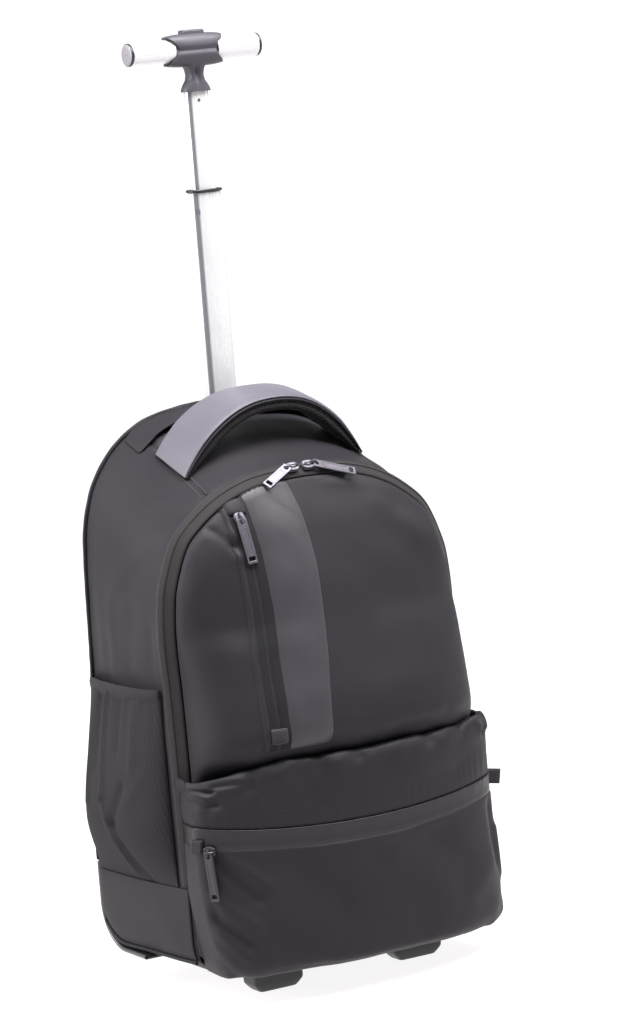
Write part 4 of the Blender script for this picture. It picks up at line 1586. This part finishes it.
# Grip: two round aluminium tubes that stick out of the hub's ends, each closed by a pale cap
# with a thin dark rim and a slightly domed face.
cap_plastic = brushed("cap_plastic", (0.26, 0.245, 0.275), 0.45, 0.1, (400, 400, 400), 0.01)
for side, sign in (("left", -1), ("right", 1)):
    inner, outer = sign * 22.0, sign * 64.5
    tube_rows = []
    for radius, x in ((10.4, inner), (10.4, outer), (10.1, outer + sign * 0.2), (9.2, outer + sign * 0.2),
                      (9.0, outer), (9.0, inner), (10.4, inner)):
        tube_rows.append(np.stack([np.full(96, x),
                                   MAST_Y + radius * np.cos(np.linspace(0, 2 * np.pi, 97)[:-1]),
                                   GRIP_Z + radius * np.sin(np.linspace(0, 2 * np.pi, 97)[:-1])], 1))
    tube_mesh = cloth_mesh(f"grip_tube_{side}_bar", np.array(tube_rows), around=True, away_from=None)
    tube_mesh.set_sharp_from_angle(angle=math.radians(35))
    show(f"grip_tube_{side}_bar", tube_mesh, aluminium, "mast_inner", "aluminium", f"grip_tube_{side}")
    cap_rings = []
    for radius, x in ((10.2, outer + sign * 0.5), (10.45, outer + sign * 0.9), (10.45, outer + sign * 2.2),
                      (10.2, outer + sign * 2.6), (9.9, outer + sign * 2.7)):
        cap_rings.append(np.stack([np.full(96, x),
                                   MAST_Y + radius * np.cos(np.linspace(0, 2 * np.pi, 97)[:-1]),
                                   GRIP_Z + radius * np.sin(np.linspace(0, 2 * np.pi, 97)[:-1])], 1))
    rim_mesh = closed_at_ends(f"grip_rim_{side}", cap_rings)
    rim_mesh.shade_smooth()
    rim_mesh.set_sharp_from_angle(angle=math.radians(50))
    show(f"grip_rim_{side}", rim_mesh, black_plastic, "mast_inner", "black_plastic", f"grip_cap_{side}")
    face_rings = []
    for radius, lift in ((9.8, 2.5), (9.8, 2.9), (9.2, 3.2), (6.0, 3.4), (3.0, 3.45), (0.4, 3.46)):
        face_rings.append(np.stack([np.full(96, outer + sign * lift),
                                    MAST_Y + radius * np.cos(np.linspace(0, 2 * np.pi, 97)[:-1]),
                                    GRIP_Z + radius * np.sin(np.linspace(0, 2 * np.pi, 97)[:-1])], 1))
    face_mesh = closed_at_ends(f"grip_face_{side}", face_rings)
    face_mesh.shade_smooth()
    show(f"grip_face_{side}", face_mesh, cap_plastic, "mast_inner", "black_plastic")


# Base: a stiff black plastic panel under the bag, with a rounded rim and shallow ribs, and two
# moulded front feet with sloping sides that carry the bag when it stands.
GUARD_FRONT = 74.0
BASE_HALF_WIDTH = 135.0
FOOT_Y = -7.3


def slab(name, half_x, y0, y1, levels, square=0.12, centre_x=0.0):
    """A block with round upright edges; levels hold heights and how far each is drawn in."""
    spin = np.linspace(0, 2 * np.pi, 96, endpoint=False)
    rings = []
    for z, inset_x, inset_y in levels:
        ring = oval(spin, 2 * (half_x - inset_x), y1 - y0 - 2 * inset_y, square)
        rings.append(np.column_stack([ring[:, 0] + centre_x, ring[:, 1] + (y0 + y1) / 2, np.full(96, z)]))
    mesh = closed_at_ends(name, rings)
    mesh.shade_smooth()
    mesh.set_sharp_from_angle(angle=math.radians(38))
    return mesh


base_mesh = slab("base_panel_moulding", BASE_HALF_WIDTH, -13.5, GUARD_FRONT - 0.3,
                 ((25.7, 1.2, 1.2), (26.4, 0.2, 0.2), (27.0, 0, 0), (29.6, 0, 0), (30.2, 0.5, 0.5)))
show("base_panel_moulding", base_mesh, black_plastic, "bag", "black_plastic", "base_panel")
for k, x in enumerate((-112, -36, 0, 36, 112)):
    rib = slab(f"base_rib_{k}", 2.2, 8, GUARD_FRONT - 8,
               ((24.4, 0.5, 0.5), (24.8, 0.1, 0.1), (25.9, 0, 0)), 0.3, x)
    show(f"base_rib_{k}", rib, black_plastic, "bag", "black_plastic")
for side, sign in (("left", -1), ("right", 1)):
    foot_mesh = slab(f"foot_{side}_moulding", 25.0, FOOT_Y - 13, FOOT_Y + 13,
                     ((0.0, 6.6, 3.6), (0.5, 5.9, 3.0), (3.0, 3.4, 1.8), (6.0, 0.9, 0.5), (7.2, 0.25, 0.15),
                      (9.0, 0, 0), (24.6, 0, 0), (25.4, 0.6, 0.6)), 0.22, sign * 73.3)
    show(f"foot_{side}_moulding", foot_mesh, black_plastic, "bag", "black_plastic", f"foot_{side}")

# Rear guard: a thin curved plate of black plastic round the bottom back edge, with two wells
# for the wheels, lugs for their axles and a rounded rim along its sides and ends.
guard_corner = [(112 + 41.7 * math.sin(a), 68.5 - 41.7 * math.cos(a))
                for a in np.linspace(0, math.pi / 2, 40)]
guard_outer = [(GUARD_FRONT, 26.8), *guard_corner, (153.7, GUARD_TOP)]
inner_corner = [(112 + 38.3 * math.sin(a), 68.5 - 38.3 * math.cos(a))
                for a in np.linspace(0, math.pi / 2, 40)]
guard_inner = [(GUARD_FRONT, 30.2), *inner_corner, (150.3, GUARD_TOP)]


def across_bag(name, profile, x0, x1):
    """A solid with a closed side profile, from one side of the bag to the other."""
    return closed_at_ends(name, [[(x, y, z) for y, z in profile] for x in (x0, x1)])


def wheel_bar(name, radius, width, x, around=96):
    """A round bar across the bag on the axis of a wheel."""
    spin = np.linspace(0, 2 * np.pi, around, endpoint=False)
    rings = [np.column_stack([np.full(around, x + s * width / 2), 132 + radius * np.cos(spin),
                              30 + radius * np.sin(spin)]) for s in (-1, 1)]
    return closed_at_ends(name, rings)


beyond = across_bag("beyond_guard",
                    [*guard_outer, (230, GUARD_TOP), (230, -40), (GUARD_FRONT, -40)], -200, 200)
guard_mesh = carved("wheel_guard_moulding",
                    across_bag("guard_plate", guard_outer + guard_inner[::-1], -157, 157),
                    [wheel_bar(f"pod_{s}", 35.6, 31.2, s * 80.0) for s in (-1, 1)]
                    + [wheel_bar(f"lug_{s}", 10, 31.2, s * 80.0, 48) for s in (-1, 1)],
                    [beyond] + [wheel_bar(f"well_{s}", 33.4, 26.8, s * 80.0) for s in (-1, 1)]
                    + [wheel_bar(f"bore_{s}", 3.3, 56.8, s * 80.0, 36) for s in (-1, 1)])
show("wheel_guard_moulding", guard_mesh, black_plastic, "bag", "black_plastic", "wheel_guard")
edge_plastic = brushed("edge_plastic", (0.085, 0.080, 0.086), 0.3, 0.0, (300, 300, 300), 0.01)
guard_middle = [((a[0] + b[0]) / 2, (a[1] + b[1]) / 2) for a, b in zip(guard_outer, guard_inner)]
for side, sign in (("left", -1), ("right", 1)):
    rim_path = [(sign * 156.2, y, z) for y, z in guard_middle]
    rim = tube_grid(rim_path, 1.9, 12)
    grid_piece(f"guard_rim_{side}", rim, edge_plastic, "bag", "black_plastic", around=True, away_from=None)
for name, (y, z) in (("front", guard_middle[0]), ("top", guard_middle[-1])):
    edge = tube_grid([(x, y, z) for x in np.linspace(-156, 156, 30)], 1.9, 12)
    grid_piece(f"guard_edge_{name}", edge, black_plastic, "bag", "black_plastic", around=True, away_from=None)

# Wheels: hard rubber tyres with two tread grooves round black rims, on short steel axles. The
# guard hides them in the photograph.
rubber = brushed("rubber", (0.014, 0.013, 0.014), 0.75, 0.0, (900, 900, 900), 0.06)
steel = brushed("steel", (0.55, 0.55, 0.57), 0.3, 1.0, (20, 1200, 1200), 0.01)
TYRE = ((21.6, -8), (23.4, -8.2), (27.4, -8.0), (29.2, -6.0), (29.9, -4.2), (30.0, -3.6),
        (29.1, -3.2), (29.1, -2.4),
        (30.0, -2.0), (30.0, 2.0), (29.1, 2.4), (29.1, 3.2), (30.0, 3.6), (29.9, 4.2),
        (29.2, 6.0), (27.4, 8.0),
        (23.4, 8.2), (21.6, 8.0), (21.6, -8))
RIM = ((3.3, -10), (6.6, -10), (7.4, -9.2), (8.4, -6.2), (18.6, -6.2), (19.6, -9.4), (20.4, -10), (21.2, -10),
       (21.7, -9.4), (21.7, 9.4), (21.2, 10), (20.4, 10), (19.6, 9.4), (18.6, 6.2), (8.4, 6.2),
       (7.4, 9.2), (6.6, 10),
       (3.3, 10), (3.3, -10))
AXLE = ((0.2, -17.6), (2.5, -17.6), (3.0, -17.1), (3.0, 17.1), (2.5, 17.6), (0.2, 17.6))


def turned(name, profile, x):
    """A body of revolution round a wheel's axis, from radii and places along the axle."""
    spin = np.linspace(0, 2 * np.pi, 96, endpoint=False)
    rows = [np.column_stack([np.full(96, x + along), 132 + radius * np.cos(spin), 30 + radius * np.sin(spin)])
            for radius, along in profile]
    mesh = cloth_mesh(name, np.array(rows), around=True, away_from=None)
    facing = sum(p.normal.dot(p.center - Vector((x, 132 + ZIP_PLANE, 30)) * MM) * p.area
                 for p in mesh.polygons)
    if facing < 0:
        mesh.flip_normals()
    mesh.set_sharp_from_angle(angle=math.radians(35))
    return mesh


for side, sign in (("left", -1), ("right", 1)):
    x = sign * 80.0
    show(f"tyre_{side}", turned(f"tyre_{side}", TYRE, x), rubber, f"wheel_{side}", "tyre", f"wheel_{side}")
    show(f"rim_{side}", turned(f"rim_{side}", RIM, x), black_plastic, f"wheel_{side}", "tyre")
    show(f"axle_{side}_pin", turned(f"axle_{side}_pin", AXLE, x), steel, "bag", "steel", f"axle_{side}")

# Back pad: foam under air mesh on the bag's back, quilted into three upright fields with a
# bound edge. It isn't seen in the photograph, and is finished plainly.
PAD_BOTTOM = GUARD_TOP + 8
pad_outline = closed_outline(BAG_DEPTH, 200)
pad_low, pad_high = pad_outline[:, 2].min(), pad_outline[:, 2].max()
pad_rows = []
for inset, depth in ((9, 0.3), (7.6, 1.6), (7.0, 4.0), (7.4, 6.4), (9.2, 8.6), (12, 9.8),
                     (16, 10.5), (21, 10.8)):
    ring = grow(pad_outline, -inset)
    ring[:, 1] = BAG_DEPTH + depth
    pad_rows.append(ring)
core = pad_rows[-1]
for share in np.linspace(0, 1, 46)[1:]:
    ring = core.copy()
    ring[:, 0] = core[:, 0] * (1 - 0.985 * share)
    ring[:, 2] = mix(core[:, 2], core[:, 2].mean(), 0.985 * share * 0.995)
    pad_rows.append(ring)
pad_grid = np.array(pad_rows)
pad_grid[..., 2] = PAD_BOTTOM + (pad_grid[..., 2] - pad_low) / (pad_high - pad_low) * (pad_high - PAD_BOTTOM)
inner_share = np.clip((np.arange(len(pad_rows)) - 7) / 4, 0, 1)[:, None]
channels = 2.8 * sum(np.exp(-((pad_grid[..., 0] - x) / 3.2) ** 2) for x in (-46, 46))
channels += 1.5 * sum(np.exp(-((pad_grid[..., 2] - z - 0.0016 * pad_grid[..., 0] ** 2) / 3.0) ** 2)
                      for z in (190, 262, 334, 406)) * (np.abs(pad_grid[..., 0]) < 46)
pad_grid[..., 1] -= channels * inner_share
pad_mesh_cloth = woven("pad_mesh", (0.010, 0.009, 0.010), (0.034, 0.030, 0.034), 0.8, (420, 420),
                       0.4, sheen=0.1,
                       slant=0.5, thread_tint=0.9)
back_pad = grid_piece("back_pad_foam", pad_grid, pad_mesh_cloth, "bag", "padding", "back_pad", around=True,
                      pole=True, away_from=np.array((0.0, 100.0, 300.0)))
pad_edge = tube_grid(np.vstack([pad_rows[2], pad_rows[2][:1]]) * (1, 0, 1) + (0, BAG_DEPTH + 1.4, 0), 1.3, 8)
pad_edge[..., 2] = PAD_BOTTOM + (pad_edge[..., 2] - pad_low) / (pad_high - pad_low) * (pad_high - PAD_BOTTOM)
grid_piece("back_pad_binding", pad_edge, webbing, "bag", "webbing", around=True, away_from=None)

# Shoulder straps: foam in the bag's cloth with bound edges, sewn on below the top of the back
# and drawn down by webbing to the bag's lower corners. They aren't seen in the photograph.
STRAP_STAND = 24.0
STRAP_ROUTE = ((0.215, 0.00, 0.925), (0.250, 0.38, 0.880), (0.310, 0.80, 0.800), (0.390, 1.00, 0.700),
               (0.470, 1.00, 0.590), (0.530, 0.84, 0.490), (0.560, 0.60, 0.420))
WEB_ROUTE = ((0.565, 0.60, 0.410), (0.600, 0.40, 0.355), (0.660, 0.16, 0.300), (0.720, 0.00, 0.262))


def strap_grid(route, sign, width, thickness, rows, section):
    """A flat band behind the back pad, along a route, with a cross-section of its own."""
    table = np.array(route)
    spots = np.column_stack([sign * table[:, 0] * BAG_WIDTH / 2,
                             BAG_DEPTH + 11.6 + table[:, 1] * STRAP_STAND + thickness / 2,
                             table[:, 2] * BACK_TOP])
    along = np.linspace(0, len(route) - 1, rows)
    path = np.column_stack([curve_through(np.arange(len(route)), spots[:, i])(along) for i in range(3)])
    run = np.gradient(path, axis=0)
    run /= np.linalg.norm(run, axis=1)[:, None]
    across = np.column_stack([-run[:, 2], np.zeros(rows), run[:, 0]])
    across /= np.linalg.norm(across, axis=1)[:, None]
    normal = np.cross(run, across)
    section = np.asarray(section)
    return (path[:, None] + across[:, None] * section[None, :, :1] * width / 2
            + normal[:, None] * section[None, :, 1:] * thickness / 2)


spin = np.linspace(0, 2 * np.pi, 60, endpoint=False)
foam = np.column_stack([np.sign(np.cos(spin)) * np.abs(np.cos(spin)) ** 0.45,
                        np.sign(np.sin(spin)) * np.abs(np.sin(spin)) ** 0.75])
foam[:, 1] *= 1 - 0.35 * np.exp(-((np.abs(foam[:, 0]) - 0.84) / 0.06) ** 2)
thin = np.column_stack([np.sign(np.cos(spin)) * np.abs(np.cos(spin)) ** 0.3,
                        np.sign(np.sin(spin)) * np.abs(np.sin(spin)) ** 0.3])
for side, sign in (("left", -1), ("right", 1)):
    grid = strap_grid(STRAP_ROUTE, sign, 60, 11, 120, foam)
    grid[:3] = mix(grid[3][None].mean(1, keepdims=True), grid[:3], np.array((0.9, 0.97, 1.0))[:, None, None])
    strap = grid_piece(f"strap_{side}_foam", grid, bag_cloth, "bag", "padding", f"strap_{side}", around=True,
                       away_from=None)
    for edge, column in (("in", 0), ("out", 30)):
        binding = tube_grid(grid[:, column], 1.5, 8)
        grid_piece(f"strap_binding_{edge}_{side}", binding, webbing, "bag", "webbing", around=True,
                   away_from=None)
    web = strap_grid(WEB_ROUTE, sign, 25, 2, 60, thin)
    grid_piece(f"strap_web_{side}_tape", web, webbing, "bag", "webbing", f"strap_web_{side}", around=True,
               away_from=None)
    sew(f"strap_stitches_{side}", [lifted(grid, column=7, height=0.0), lifted(grid, column=23, height=0.0)],
        slot="padding", pitch=3.2, length=2.4, thickness=0.45)
